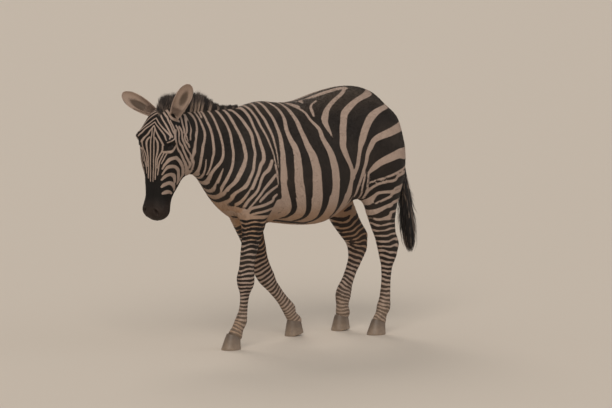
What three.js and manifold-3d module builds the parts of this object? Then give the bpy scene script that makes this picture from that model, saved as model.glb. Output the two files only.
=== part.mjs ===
// Plains zebra, life size, walking with its head low and turned a little to its left.
// Millimetres, +Z up, floor at Z = 0, head toward -X, tail toward +X, the animal's left side toward -Y.
//
// The flesh is modelled whole: one loft for the trunk and neck, one for the head, one for each leg
// and one for the tail's dock. The lofts are joined, softened where they meet, swelled where the big
// muscles and bones lie, and parted again with thin cuts into the named pieces.
import * as THREE from 'three';
import Module from 'manifold-3d';
import { mergeVertices } from 'three/addons/utils/BufferGeometryUtils.js';

// ---------------------------------------------------------------- driving dimensions
const CUT_GAP = 0.4;                  // gap left between two touching pieces
const CENTRE_X = -166.13;               // middle of the whole animal along its length, moved to X = 0
const CENTRE_Y = 0;                   // middle of the whole animal across its width, moved to Y = 0

const TRUNK_AROUND = 28;              // facets round each loft
const HEAD_AROUND = 26;
const LEG_AROUND = 14;
const HOOF_AROUND = 18;
const TRUNK_SPANS = 2;                // rings between two rows of a table
const HEAD_SPANS = 2;
const LEG_SPANS = 1;
const SHORTEST_EDGE = 16;             // slivers left by joining are closed up to this size
const SOFTEN_REACH = 70;              // the joins are softened this far to each side

// the head's own frame: where the poll is, and how the face is turned
const POLL = new THREE.Vector3(-893, -40, 1236);
const FACE_YAW = 21;                  // degrees turned to the animal's left
const FACE_ROLL = 4.5;                // degrees the left ear hangs lower than the right
const FACE_NOD = 1.5;                 // degrees the nose is forward of straight down

const EYE_RADIUS = 21;
const EYE_ALONG = 163;                // distance of the eyes from the poll, down the face
const EYE_FORWARD = 42;
const EYE_ASIDE = 84;
const EAR_LENGTH = 178;
const EAR_HALF_WIDTH = 39;
const EAR_THICKNESS = 6;
const EAR_ROLL_ROOT = 112;            // how far round the edges come at the root, degrees each way
const EAR_ROLL_TIP = 50;
const EAR_BOW = 10;                   // the ear bows back a little
const EAR_ROWS = 8;
const EAR_ACROSS = 8;

const HOOF_LENGTH = 108;              // toe to heel on the floor
const HOOF_WIDTH = 88;
const HOOF_HEIGHT = 66;               // height of the wall at the toe
const HEEL_HEIGHT = 40;

// ---------------------------------------------------------------- tables of the body's shape
// trunk and neck: x, y, z of the middle, tilt of the slice, half width, height above the middle,
// depth below it, squareness above, squareness below, how much narrower the top is than the bottom
const TRUNK = [
  [580, 0, 1030, -20, 28, 60, 60, 2.0, 2.0, 0.00],
  [562, 0, 1030, -15, 104, 166, 115, 2.1, 2.0, 0.00],
  [510, 0, 1028, -8, 156, 224, 180, 2.2, 2.0, 0.00],
  [430, 0, 1020, 0, 200, 272, 216, 2.3, 2.0, 0.00],
  [320, 0, 1000, 0, 224, 323, 238, 2.1, 2.0, 0.00],
  [200, 0, 960, 0, 240, 355, 308, 2.1, 2.0, -0.05],
  [80, 0, 930, 0, 262, 360, 325, 2.1, 2.2, -0.08],
  [-30, 0, 915, 0, 276, 342, 315, 2.1, 2.2, -0.08],
  [-150, 0, 920, 0, 272, 330, 305, 2.0, 2.2, -0.08],
  [-270, 0, 940, 3, 245, 328, 300, 1.8, 2.1, -0.10],
  [-390, 0, 956, 9, 205, 305, 305, 1.8, 2.0, -0.15],
  [-487, 0, 995, 15, 150, 255, 250, 1.9, 2.0, -0.22],
  [-588, 0, 1050, 19, 108, 198, 188, 2.0, 2.0, -0.22],
  [-680, -4, 1079, 17, 88, 168, 170, 2.0, 2.0, -0.18],
  [-770, -14, 1100, 12, 80, 147, 148, 2.0, 2.0, -0.12],
  [-850, -30, 1115, 6, 74, 130, 128, 2.0, 2.0, -0.05],
  [-905, -48, 1125, 0, 60, 105, 105, 2.0, 2.0, 0.00],
];

// legs: x, y, z of the middle, half width, depth in front, depth behind, squareness,
// then how far the front and the back of the slice bend in toward the body's middle
const LEG_FORE_LEFT = [
  [-330, -120, 1120, 30, 60, 60, 2.0],
  [-375, -150, 1010, 60, 100, 115, 2.0, 35, 0],
  [-415, -165, 890, 75, 118, 130, 2.0, 55, 0],
  [-425, -168, 790, 75, 108, 118, 2.1, 45, 0],
  [-412, -160, 700, 66, 84, 84, 2.1, 15, 0],
  [-416, -150, 630, 53, 57, 63, 2.1],
  [-430, -142, 550, 44, 49, 53, 2.1],
  [-440, -136, 470, 37, 47, 44, 2.1],
  [-447, -133, 410, 36, 45, 43, 2.1],
  [-452, -130, 368, 41, 50, 52, 2.2],
  [-455, -129, 330, 37, 43, 54, 2.2],
  [-457, -128, 285, 25, 30, 36, 2.0],
  [-461, -126, 235, 22, 27, 30, 2.0],
  [-467, -124, 185, 24, 28, 32, 2.0],
  [-476, -122, 142, 32, 36, 38, 2.0],
  [-497, -122, 102, 29, 33, 34, 2.0],
  [-513, -121, 70, 36, 41, 43, 2.0],
  [-522, -121, 42, 30, 34, 34, 2.0],
];
const LEG_FORE_RIGHT = [
  [-330, 120, 1120, 30, 60, 60, 2.0],
  [-355, 150, 1010, 60, 100, 115, 2.0, 35, 0],
  [-360, 163, 880, 75, 118, 130, 2.0, 55, 0],
  [-325, 160, 770, 72, 104, 112, 2.1, 45, 0],
  [-282, 148, 680, 64, 88, 86, 2.1, 15, 0],
  [-256, 138, 610, 56, 76, 82, 2.1],
  [-236, 131, 545, 50, 66, 80, 2.1],
  [-216, 124, 470, 44, 56, 72, 2.1],
  [-200, 118, 415, 40, 50, 62, 2.1],
  [-180, 113, 365, 41, 50, 57, 2.2],
  [-153, 109, 318, 39, 46, 54, 2.2],
  [-118, 106, 272, 30, 38, 40, 2.0],
  [-80, 103, 228, 27, 34, 36, 2.0],
  [-44, 101, 184, 28, 35, 38, 2.0],
  [-14, 100, 146, 33, 39, 44, 2.0],
  [2, 100, 108, 29, 33, 34, 2.0],
  [26, 100, 80, 35, 40, 42, 2.0],
  [36, 100, 50, 30, 34, 34, 2.0],
];
const LEG_HIND_LEFT = [
  [330, -90, 1250, 40, 60, 60, 2.0],
  [400, -130, 1120, 90, 150, 158, 2.0, 0, 45],
  [420, -145, 990, 105, 190, 168, 2.1, 20, 50],
  [405, -155, 870, 100, 165, 164, 2.1, 25, 35],
  [395, -155, 770, 80, 98, 148, 2.0, 15, 20],
  [402, -150, 680, 66, 96, 111, 2.1, 0, 8],
  [420, -145, 600, 52, 76, 80, 2.1],
  [441, -141, 530, 42, 64, 68, 2.1],
  [460, -138, 470, 42, 64, 76, 2.2],
  [464, -135, 420, 39, 54, 56, 2.2],
  [460, -131, 360, 29, 38, 38, 2.0],
  [458, -128, 295, 24, 31, 32, 2.0],
  [456, -125, 235, 24, 32, 33, 2.0],
  [454, -123, 190, 27, 35, 37, 2.0],
  [448, -121, 145, 34, 42, 44, 2.0],
  [432, -120, 104, 29, 34, 34, 2.0],
  [418, -120, 72, 36, 41, 43, 2.0],
  [411, -120, 44, 30, 34, 34, 2.0],
];
const LEG_HIND_RIGHT = [
  [330, 90, 1250, 40, 60, 60, 2.0],
  [385, 130, 1120, 90, 150, 160, 2.0, 0, 45],
  [376, 148, 990, 105, 190, 182, 2.1, 20, 50],
  [338, 158, 870, 100, 175, 150, 2.1, 25, 35],
  [320, 158, 775, 85, 125, 128, 2.1, 15, 20],
  [340, 150, 690, 68, 94, 96, 2.1],
  [378, 142, 610, 56, 84, 84, 2.1],
  [420, 136, 545, 48, 78, 72, 2.1],
  [458, 132, 487, 44, 72, 74, 2.2],
  [462, 130, 430, 40, 62, 60, 2.2],
  [444, 127, 372, 32, 46, 44, 2.0],
  [416, 125, 315, 28, 40, 38, 2.0],
  [390, 123, 262, 27, 40, 40, 2.0],
  [368, 122, 222, 30, 44, 50, 2.0],
  [355, 121, 184, 34, 46, 56, 2.0],
  [353, 120, 132, 30, 36, 38, 2.0],
  [357, 120, 94, 36, 42, 45, 2.0],
  [358, 120, 60, 30, 34, 34, 2.0],
];

// head: distance down the face from the poll, depth in front of the middle line, depth behind it,
// half width, squareness in front, squareness behind, how much wider the front is than the back
const HEAD = [
  [-22, 14, 72, 38, 2.0, 2.0, 0.00],
  [5, 46, 115, 66, 2.4, 2.0, 0.00],
  [50, 72, 126, 86, 2.8, 2.1, 0.00],
  [100, 80, 134, 103, 3.4, 2.3, 0.08],
  [150, 80, 152, 107, 3.8, 2.5, 0.08],
  [200, 76, 172, 101, 3.8, 2.7, 0.06],
  [250, 70, 183, 92, 3.6, 2.8, 0.00],
  [300, 64, 178, 78, 3.6, 2.8, -0.05],
  [350, 60, 158, 67, 3.6, 2.6, -0.08],
  [395, 57, 128, 58, 3.6, 2.5, -0.08],
  [435, 57, 98, 55, 3.2, 2.4, -0.04],
  [475, 60, 82, 61, 2.8, 2.3, 0.00],
  [512, 55, 74, 65, 2.6, 2.3, 0.00],
  [538, 40, 60, 54, 2.4, 2.3, 0.00],
  [552, 14, 32, 28, 2.0, 2.0, 0.00],
];

// the dock, the fleshy root of the tail: x, y, z of the middle, half width, depth in front, behind
const DOCK = [
  [500, 0, 1150, 34, 34, 34, 2.0],
  [548, 0, 1142, 33, 33, 33, 2.0],
  [592, 0, 1116, 30, 30, 30, 2.0],
  [628, -3, 1060, 27, 26, 26, 2.0],
  [644, -9, 985, 23, 23, 23, 2.0],
  [650, -15, 910, 19, 19, 19, 2.0],
  [653, -19, 850, 16, 16, 16, 2.0],
];
const TAIL_HAIR = [
  [653, -19, 846, 19, 19, 19, 2.0],
  [660, -24, 770, 28, 27, 24, 2.0],
  [662, -30, 690, 34, 32, 32, 2.0],
  [664, -36, 610, 36, 34, 42, 2.0],
  [668, -42, 530, 32, 32, 44, 2.0],
  [674, -46, 460, 22, 24, 32, 2.0],
  [680, -50, 405, 8, 9, 10, 2.0],
];

// mane and forelock: x, y of the middle, height of the root, height of the hair, half width
const MANE = [
  [-858, -34, 1200, 134, 15],
  [-820, -26, 1208, 124, 17],
  [-770, -16, 1214, 118, 17],
  [-720, -9, 1216, 116, 17],
  [-670, -4, 1216, 112, 16],
  [-620, -1, 1214, 96, 15],
  [-575, 0, 1212, 66, 13],
  [-520, 0, 1210, 46, 11],
  [-460, 0, 1214, 38, 9],
  [-415, 0, 1218, 34, 6],
];
const FORELOCK = [
  [-938, -58, 1192, 42, 9],
  [-928, -54, 1194, 84, 15],
  [-914, -49, 1196, 116, 18],
  [-892, -42, 1200, 132, 18],
  [-859, -35, 1205, 130, 14],
];

// swellings and hollows of the flesh: x, |y|, z of the middle, reach along x, y and z, height
const SWELLINGS = [
  [-505, 150, 850, 75, 80, 85, 13],    // point of the shoulder
  [-360, 230, 800, 95, 80, 85, 10],    // triceps, above the elbow
  [-300, 190, 1090, 60, 90, 120, 6],   // blade of the shoulder
  [-215, 250, 780, 60, 90, 110, -9],   // hollow behind the elbow
  [190, 190, 1120, 85, 90, 70, -12],   // hollow of the flank
  [235, 180, 1225, 55, 60, 50, 10],    // point of the hip
  [262, 215, 770, 70, 70, 75, 10],     // stifle
  [300, 60, 745, 75, 95, 65, -24],     // hollow of the groin
  [420, 200, 1120, 110, 90, 110, 8],   // muscle of the croup
  [-420, 120, 1130, 80, 70, 90, -5],   // in front of the blade
];
// the same on the head: distance down, forward, |aside|, reach, height
const HEAD_SWELLINGS = [
  [136, 48, 110, 32, 18],              // brow over the eye
  [170, 36, 104, 24, -10],             // socket of the eye
  [285, -90, 80, 75, 5],               // cheek
  [250, 20, 92, 40, 5],                // crest of the cheek bone
  [215, 62, 80, 35, -6],               // hollow in front of the eye
  [95, 10, 100, 34, -7],               // hollow above the eye
  [490, 34, 58, 26, 7],                // rim of the nostril
  [455, -20, 56, 30, -4],              // corner of the mouth
];

// ---------------------------------------------------------------- small helpers
const v = (x, y, z) => new THREE.Vector3(x, y, z);
const rad = (deg) => deg * Math.PI / 180;

// a smooth path through the rows of a table, with a few steps between each two rows
function throughRows(rows, spans) {
  const out = [];
  const at = (i) => {
    if (i < 0) return rows[0].map((v, k) => 2 * v - rows[1][k]);
    if (i >= rows.length) return rows[rows.length - 1].map((v, k) => 2 * v - rows[rows.length - 2][k]);
    return rows[i];
  };
  for (let i = 0; i < rows.length - 1; i++) {
    const [a, b, c, d] = [at(i - 1), at(i), at(i + 1), at(i + 2)];
    for (let s = 0; s < spans; s++) {
      const t = s / spans;
      out.push(b.map((_, k) => 0.5 * (2 * b[k] + (c[k] - a[k]) * t
        + (2 * a[k] - 5 * b[k] + 4 * c[k] - d[k]) * t * t
        + (3 * b[k] - a[k] - 3 * c[k] + d[k]) * t * t * t)));
    }
  }
  out.push(rows[rows.length - 1].slice());
  return out;
}

// one slice: a rounded-square curve, two depths, one half width
function slice(around, halfWidth, front, back, squareFront, squareBack, taper) {
  const points = [];
  for (let k = 0; k < around; k++) {
    const a = 2 * Math.PI * k / around;
    const c = Math.cos(a);
    const s = Math.sin(a);
    const n = s >= 0 ? squareFront : squareBack;
    const cc = Math.sign(c) * Math.abs(c) ** (2 / n);
    const ss = Math.sign(s) * Math.abs(s) ** (2 / n);
    points.push([halfWidth * cc * (1 + taper * ss), (s >= 0 ? front : back) * ss]);
  }
  return points;
}

// a closed skin over a row of rings, each ring the same number of points
function skinOver(rings) {
  const n = rings.length;
  const m = rings[0].length;
  const points = rings.flat();
  const tri = [];
  for (let i = 0; i < n - 1; i++) {
    for (let j = 0; j < m; j++) {
      const a = i * m + j;
      const b = i * m + (j + 1) % m;
      tri.push(a, b, b + m, a, b + m, a + m);
    }
  }
  const middle = (ring) => ring.reduce((s, p) => s.add(p), new THREE.Vector3()).divideScalar(m);
  points.push(middle(rings[0]), middle(rings[n - 1]));
  for (let j = 0; j < m; j++) {
    tri.push(n * m, (j + 1) % m, j);
    tri.push(n * m + 1, (n - 1) * m + j, (n - 1) * m + (j + 1) % m);
  }
  const geometry = new THREE.BufferGeometry();
  geometry.setAttribute('position', new THREE.Float32BufferAttribute(points.flatMap((p) => [p.x, p.y, p.z]), 3));
  geometry.setIndex(tri);
  return facingOut(geometry);
}

function volumeOf(geometry) {
  const p = geometry.attributes.position;
  const t = geometry.index.array;
  const [a, b, c] = [new THREE.Vector3(), new THREE.Vector3(), new THREE.Vector3()];
  let sum = 0;
  for (let i = 0; i < t.length; i += 3) {
    a.fromBufferAttribute(p, t[i]);
    b.fromBufferAttribute(p, t[i + 1]);
    c.fromBufferAttribute(p, t[i + 2]);
    sum += a.dot(b.cross(c)) / 6;
  }
  return sum;
}

function facingOut(geometry) {
  if (volumeOf(geometry) < 0) {
    const t = geometry.index.array;
    for (let i = 0; i < t.length; i += 3) [t[i + 1], t[i + 2]] = [t[i + 2], t[i + 1]];
  }
  return geometry;
}

// ---------------------------------------------------------------- the lofts
function trunkLoft() {
  const rings = throughRows(TRUNK, TRUNK_SPANS).map(([x, y, z, tilt, w, up, down, nu, nd, taper]) => {
    const upward = new THREE.Vector3(Math.sin(rad(tilt)), 0, Math.cos(rad(tilt)));
    return slice(TRUNK_AROUND, w, up, down, nu, nd, taper)
      .map(([side, rise]) => new THREE.Vector3(x, y + side, z).addScaledVector(upward, rise));
  });
  return skinOver(rings);
}

// a limb: the slices stay square to the path, the front of each slice faces the head
function limbLoft(rows, around, spans) {
  const path = throughRows(rows.map((row) => [...row, 0, 0].slice(0, 9)), spans);
  const middle = path.map(([x, y, z]) => new THREE.Vector3(x, y, z));
  const rings = path.map(([, y, , w, front, back, n, inFront, inBack], i) => {
    const along = middle[Math.min(i + 1, middle.length - 1)].clone().sub(middle[Math.max(i - 1, 0)]).normalize();
    const forward = new THREE.Vector3(0, 1, 0).cross(along).normalize();
    if (forward.x > 0) forward.negate();
    const aside = new THREE.Vector3().crossVectors(along, forward);
    return slice(around, w, front, back, n, n, 0).map(([side, depth]) => {
      const bend = depth > 0 ? inFront * (depth / front) ** 2 : inBack * (depth / back) ** 2;
      return middle[i].clone().addScaledVector(aside, side).addScaledVector(forward, depth)
        .add(v(0, -Math.sign(y) * bend, 0));
    });
  });
  return skinOver(rings);
}

// the head's own directions: down the face, forward out of the face, toward the animal's left
const HEAD_FRAME = (() => {
  const forward = new THREE.Vector3(-Math.cos(rad(FACE_YAW)), -Math.sin(rad(FACE_YAW)), 0);
  const left = new THREE.Vector3(Math.sin(rad(FACE_YAW)), -Math.cos(rad(FACE_YAW)), 0);
  const down = new THREE.Vector3(0, 0, -1);
  const noddedDown = down.clone().multiplyScalar(Math.cos(rad(FACE_NOD)))
    .addScaledVector(forward, Math.sin(rad(FACE_NOD)));
  const noddedForward = forward.clone().multiplyScalar(Math.cos(rad(FACE_NOD)))
    .addScaledVector(down, -Math.sin(rad(FACE_NOD)));
  return {
    down: noddedDown.clone().multiplyScalar(Math.cos(rad(FACE_ROLL))).addScaledVector(left, -Math.sin(rad(FACE_ROLL))),
    forward: noddedForward,
    left: left.clone().multiplyScalar(Math.cos(rad(FACE_ROLL))).addScaledVector(noddedDown, Math.sin(rad(FACE_ROLL))),
  };
})();
function onHead(down, forward, left) {
  return POLL.clone().addScaledVector(HEAD_FRAME.down, down)
    .addScaledVector(HEAD_FRAME.forward, forward).addScaledVector(HEAD_FRAME.left, left);
}

function headLoft() {
  const rings = throughRows(HEAD, HEAD_SPANS).map(([down, front, back, w, nf, nb, taper]) =>
    slice(HEAD_AROUND, w, front, back, nf, nb, taper).map(([side, depth]) => onHead(down, depth, side)));
  return skinOver(rings);
}

// a thin wall between two sheets of points, closed along its four edges
function wallBetween(outer, inner) {
  const n = outer.length;
  const m = outer[0].length;
  const o = (i, j) => i * m + j;
  const q = (i, j) => n * m + i * m + j;
  const tri = [];
  const quad = (a, b, c, d) => tri.push(a, b, c, a, c, d);
  for (let i = 0; i < n - 1; i++) {
    for (let j = 0; j < m - 1; j++) {
      quad(o(i, j), o(i, j + 1), o(i + 1, j + 1), o(i + 1, j));
      quad(q(i, j), q(i + 1, j), q(i + 1, j + 1), q(i, j + 1));
    }
    quad(o(i, 0), o(i + 1, 0), q(i + 1, 0), q(i, 0));
    quad(o(i, m - 1), q(i, m - 1), q(i + 1, m - 1), o(i + 1, m - 1));
  }
  for (let j = 0; j < m - 1; j++) {
    quad(o(0, j), q(0, j), q(0, j + 1), o(0, j + 1));
    quad(o(n - 1, j), o(n - 1, j + 1), q(n - 1, j + 1), q(n - 1, j));
  }
  const points = [...outer.flat(), ...inner.flat()];
  const geometry = new THREE.BufferGeometry();
  geometry.setAttribute('position', new THREE.Float32BufferAttribute(points.flatMap((p) => [p.x, p.y, p.z]), 3));
  geometry.setIndex(tri);
  return facingOut(geometry);
}

// an ear: a leaf rolled into an open trumpet, narrow at its root, widest above the middle
function ear(base, axis, opening, length) {
  const up = axis.clone().normalize();
  const out = opening.clone().addScaledVector(up, -opening.dot(up)).normalize();
  const side = new THREE.Vector3().crossVectors(up, out);
  const outer = [];
  const inner = [];
  for (let i = 0; i <= EAR_ROWS; i++) {
    const t = i / EAR_ROWS;
    const swellUp = 0.62 + 0.38 * Math.sin(Math.PI * Math.min(1, t * 0.85 + 0.03));
    const tip = Math.sqrt(Math.max(0, 1 - Math.max(0, (t - 0.55) / 0.45) ** 2.6));
    const width = EAR_HALF_WIDTH * swellUp * tip + 2.5;
    const roll = rad(EAR_ROLL_ROOT + (EAR_ROLL_TIP - EAR_ROLL_ROOT) * t);
    const radius = width / Math.sin(Math.min(roll, Math.PI / 2));
    const wall = Math.min(EAR_THICKNESS * (1 - 0.55 * t), radius * 0.6);
    const lean = -EAR_BOW * Math.sin(Math.PI * t);
    const around = (r) => Array.from({ length: EAR_ACROSS + 1 }, (_, j) => {
      const a = roll * (2 * j / EAR_ACROSS - 1);
      return base.clone().addScaledVector(up, length * t)
        .addScaledVector(side, r * Math.sin(a)).addScaledVector(out, lean + radius * 0.5 - r * Math.cos(a));
    });
    outer.push(around(radius));
    inner.push(around(radius - wall));
  }
  return wallBetween(outer, inner);
}

// upright hair: a fin with a rounded top, its root sunk in the crest
function maneLoft(rows) {
  const rings = throughRows(rows, 2).map(([x, y, root, height, w]) => [
    v(x, y - w, root), v(x, y - w, root + height * 0.5), v(x, y - w * 0.75, root + height * 0.85),
    v(x, y, root + height), v(x, y + w * 0.75, root + height * 0.85), v(x, y + w, root + height * 0.5),
    v(x, y + w, root), v(x, y, root - 2),
  ]);
  return skinOver(rings);
}

// a hoof's own frame: along toward the toe, across, height; a lifted heel turns it about the toe
function inHoof(x, y, heading, lift) {
  const turn = rad(heading);
  const ahead = v(-Math.cos(turn), -Math.sin(turn), 0);
  const side = v(-Math.sin(turn), Math.cos(turn), 0);
  const rise = rad(lift);
  const toe = HOOF_LENGTH / 2 - 14;
  return (along, across, height) => {
    const a = (along - toe) * Math.cos(rise) + height * Math.sin(rise) + toe;
    const h = height * Math.cos(rise) - (along - toe) * Math.sin(rise);
    return v(x, y, h).addScaledVector(ahead, a).addScaledVector(side, across);
  };
}
const CORONET_SIZE = 0.78;            // coronet against the floor, as a share
const CORONET_BACK = 12;              // how far the coronet sits behind the middle of the floor's outline
const HEEL_CUT = 0.72;                // the heel is cut off nearly square here

// a hoof: a sloping horn wall between the coronet and the floor
function hoof(x, y, heading, lift) {
  const place = inHoof(x, y, heading, lift);
  const levels = [[0, 1], [0.08, 1.012], [0.5, 0.9], [1, CORONET_SIZE]];
  const rings = levels.map(([level, size]) => Array.from({ length: HOOF_AROUND }, (_, k) => {
    const a = 2 * Math.PI * k / HOOF_AROUND;
    const c = Math.cos(a);
    const flat = c < -HEEL_CUT ? -HEEL_CUT + (c + HEEL_CUT) * 0.15 : c;
    const along = HOOF_LENGTH / 2 * size * (flat + 0.12) - CORONET_BACK * level;
    const p = place(along, HOOF_WIDTH / 2 * size * Math.sin(a), level * coronetHeight(along));
    p.z = Math.max(0, p.z);
    return p;
  }));
  return skinOver(rings);
}

function coronetHeight(along) {
  return (HEEL_HEIGHT + HOOF_HEIGHT) / 2 + (HOOF_HEIGHT - HEEL_HEIGHT) * (along + CORONET_BACK) / (HOOF_LENGTH * CORONET_SIZE);
}

// everything under the coronet, taken off the leg
function hoofBlock(x, y, heading, lift) {
  const place = inHoof(x, y, heading, lift);
  const rings = [-130, 130].map((along) => [
    place(along, -80, -200), place(along, 80, -200),
    place(along, 80, coronetHeight(along) + CUT_GAP), place(along, -80, coronetHeight(along) + CUT_GAP),
  ]);
  return skinOver(rings);
}

// ---------------------------------------------------------------- joining, softening, swelling
const wasm = await Module();
wasm.setup();

function toSolid(geometry) {
  const g = geometry.clone();
  g.deleteAttribute('normal');
  g.deleteAttribute('uv');
  const merged = mergeVertices(g, 1e-4);
  const mesh = new wasm.Mesh({
    numProp: 3,
    vertProperties: new Float32Array(merged.attributes.position.array),
    triVerts: new Uint32Array(merged.index.array),
  });
  return new wasm.Manifold(mesh);
}

function fromSolid(solid) {
  const mesh = solid.getMesh();
  const geometry = new THREE.BufferGeometry();
  geometry.setAttribute('position', new THREE.Float32BufferAttribute(Float32Array.from(mesh.vertProperties), 3));
  geometry.setIndex(Array.from(mesh.triVerts));
  return mergeVertices(geometry, 1e-3);
}

function pointsOf(geometry) {
  const p = geometry.attributes.position;
  return Array.from({ length: p.count }, (_, i) => new THREE.Vector3().fromBufferAttribute(p, i));
}

function setPoints(geometry, points) {
  geometry.setAttribute('position', new THREE.Float32BufferAttribute(points.flatMap((p) => [p.x, p.y, p.z]), 3));
}

function neighboursOf(geometry, count) {
  const sets = Array.from({ length: count }, () => new Set());
  const t = geometry.index.array;
  for (let i = 0; i < t.length; i += 3) {
    for (const [a, b] of [[0, 1], [1, 2], [2, 0]]) {
      sets[t[i + a]].add(t[i + b]);
      sets[t[i + b]].add(t[i + a]);
    }
  }
  return sets.map((s) => [...s]);
}

// where two lofts meet there is a sharp valley: points near it are drawn to the middle of their
// neighbours a few times, which fills the valley like a fillet
function soften(geometry, seams, reach, rounds) {
  let points = pointsOf(geometry);
  const near = neighboursOf(geometry, points.length);
  const weight = points.map((p) => {
    let d = Infinity;
    for (const q of seams) d = Math.min(d, p.distanceToSquared(q));
    const f = Math.max(0, 1 - Math.sqrt(d) / reach);
    return 0.6 * f * (2 - f);
  });
  for (let r = 0; r < rounds; r++) {
    points = points.map((p, i) => {
      if (weight[i] <= 0) return p;
      const mean = near[i].reduce((s, k) => s.add(points[k]), new THREE.Vector3()).divideScalar(near[i].length);
      return p.clone().lerp(mean, weight[i]);
    });
  }
  setPoints(geometry, points);
}

// points of a joined solid that belong to none of the lofts it was joined from
function seamPoints(geometry, lofts) {
  const key = (p) => `${Math.round(p.x * 20)},${Math.round(p.y * 20)},${Math.round(p.z * 20)}`;
  const known = new Set(lofts.flatMap((g) => pointsOf(g).map(key)));
  return pointsOf(geometry).filter((p) => !known.has(key(p)));
}

// joining leaves slivers along the seams: edges shorter than `shortest` are closed up, where that
// neither pinches the surface nor turns a facet over
function closeShortEdges(geometry, shortest) {
  let points = pointsOf(geometry);
  let tri = [];
  const index = geometry.index.array;
  for (let i = 0; i < index.length; i += 3) tri.push([index[i], index[i + 1], index[i + 2]]);
  const facing = (t, at) => {
    const [a, b, c] = t.map(at);
    return b.clone().sub(a).cross(c.clone().sub(a));
  };
  for (let pass = 0; pass < 12; pass++) {
    const around = points.map(() => []);
    tri.forEach((t, k) => t.forEach((i) => around[i].push(k)));
    const ring = (i) => new Set(around[i].flatMap((k) => tri[k]).filter((j) => j !== i));
    const busy = new Set();
    const edges = [];
    for (const [a, b, c] of tri) {
      for (const [i, j] of [[a, b], [b, c], [c, a]]) {
        const d = points[i].distanceTo(points[j]);
        if (i < j && d < shortest) edges.push([d, i, j]);
      }
    }
    edges.sort((p, q) => p[0] - q[0] || p[1] - q[1] || p[2] - q[2]);
    let closed = 0;
    for (const [, i, j] of edges) {
      const [ri, rj] = [ring(i), ring(j)];
      if ([i, j, ...ri, ...rj].some((k) => busy.has(k))) continue;
      if ([...ri].filter((k) => rj.has(k)).length !== 2) continue;
      const middle = points[i].clone().add(points[j]).multiplyScalar(0.5);
      const touched = [...new Set([...around[i], ...around[j]])]
        .filter((k) => !(tri[k].includes(i) && tri[k].includes(j)));
      const turned = touched.some((k) => {
        const before = facing(tri[k], (m) => points[m]);
        const after = facing(tri[k], (m) => (m === i || m === j ? middle : points[m]));
        return before.dot(after) < 0.3 * before.length() * after.length() || after.length() < 2;
      });
      if (turned) continue;
      points[i] = middle;
      tri.forEach((t, k) => { if (around[j].includes(k)) tri[k] = t.map((m) => (m === j ? i : m)); });
      [i, j, ...ri, ...rj].forEach((k) => busy.add(k));
      closed += 1;
    }
    tri = tri.filter((t) => new Set(t).size === 3);
    if (!closed) break;
  }
  const kept = [...new Set(tri.flat())].sort((a, b) => a - b);
  const number = new Map(kept.map((k, i) => [k, i]));
  setPoints(geometry, kept.map((k) => points[k]));
  geometry.setIndex(tri.flat().map((k) => number.get(k)));
}

function swell(geometry, bumps) {
  geometry.computeVertexNormals();
  const normal = geometry.attributes.normal;
  const points = pointsOf(geometry);
  setPoints(geometry, points.map((p, i) => {
    const n = new THREE.Vector3().fromBufferAttribute(normal, i);
    let lift = 0;
    for (const { at, reach, height } of bumps) {
      const d = ((p.x - at.x) / reach.x) ** 2 + ((p.y - at.y) / reach.y) ** 2 + ((p.z - at.z) / reach.z) ** 2;
      if (d < 9) lift += height * Math.exp(-d);
    }
    return p.clone().addScaledVector(n, lift);
  }));
  geometry.deleteAttribute('normal');
}

function bodyBumps() {
  const out = [];
  for (const side of [-1, 1]) {
    for (const [x, y, z, rx, ry, rz, height] of SWELLINGS) {
      out.push({ at: new THREE.Vector3(x, side * y, z), reach: new THREE.Vector3(rx, ry, rz), height });
    }
    for (const [down, forward, aside, reach, height] of HEAD_SWELLINGS) {
      out.push({ at: onHead(down, forward, side * aside), reach: new THREE.Vector3(reach, reach, reach), height });
    }
  }
  return out;
}

// ---------------------------------------------------------------- the whole animal
function slab(middle, normal, wide, tall) {
  const g = new THREE.BoxGeometry(wide, tall, CUT_GAP);
  g.applyQuaternion(new THREE.Quaternion().setFromUnitVectors(new THREE.Vector3(0, 0, 1), normal.clone().normalize()));
  g.translate(middle.x, middle.y, middle.z);
  return toSolid(g);
}

function ball(middle, radius) {
  const g = new THREE.SphereGeometry(radius, 12, 8);
  g.translate(middle.x, middle.y, middle.z);
  return toSolid(g);
}

const MATERIALS = {
  coat: { color: 0xcfc0ad, roughness: 0.85 },
  muzzle: { color: 0x2c2522, roughness: 0.6 },
  horn: { color: 0x3a342f, roughness: 0.55 },
  eye: { color: 0x120d0a, roughness: 0.08 },
  hair: { color: 0x2b2624, roughness: 0.8 },
};

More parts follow.
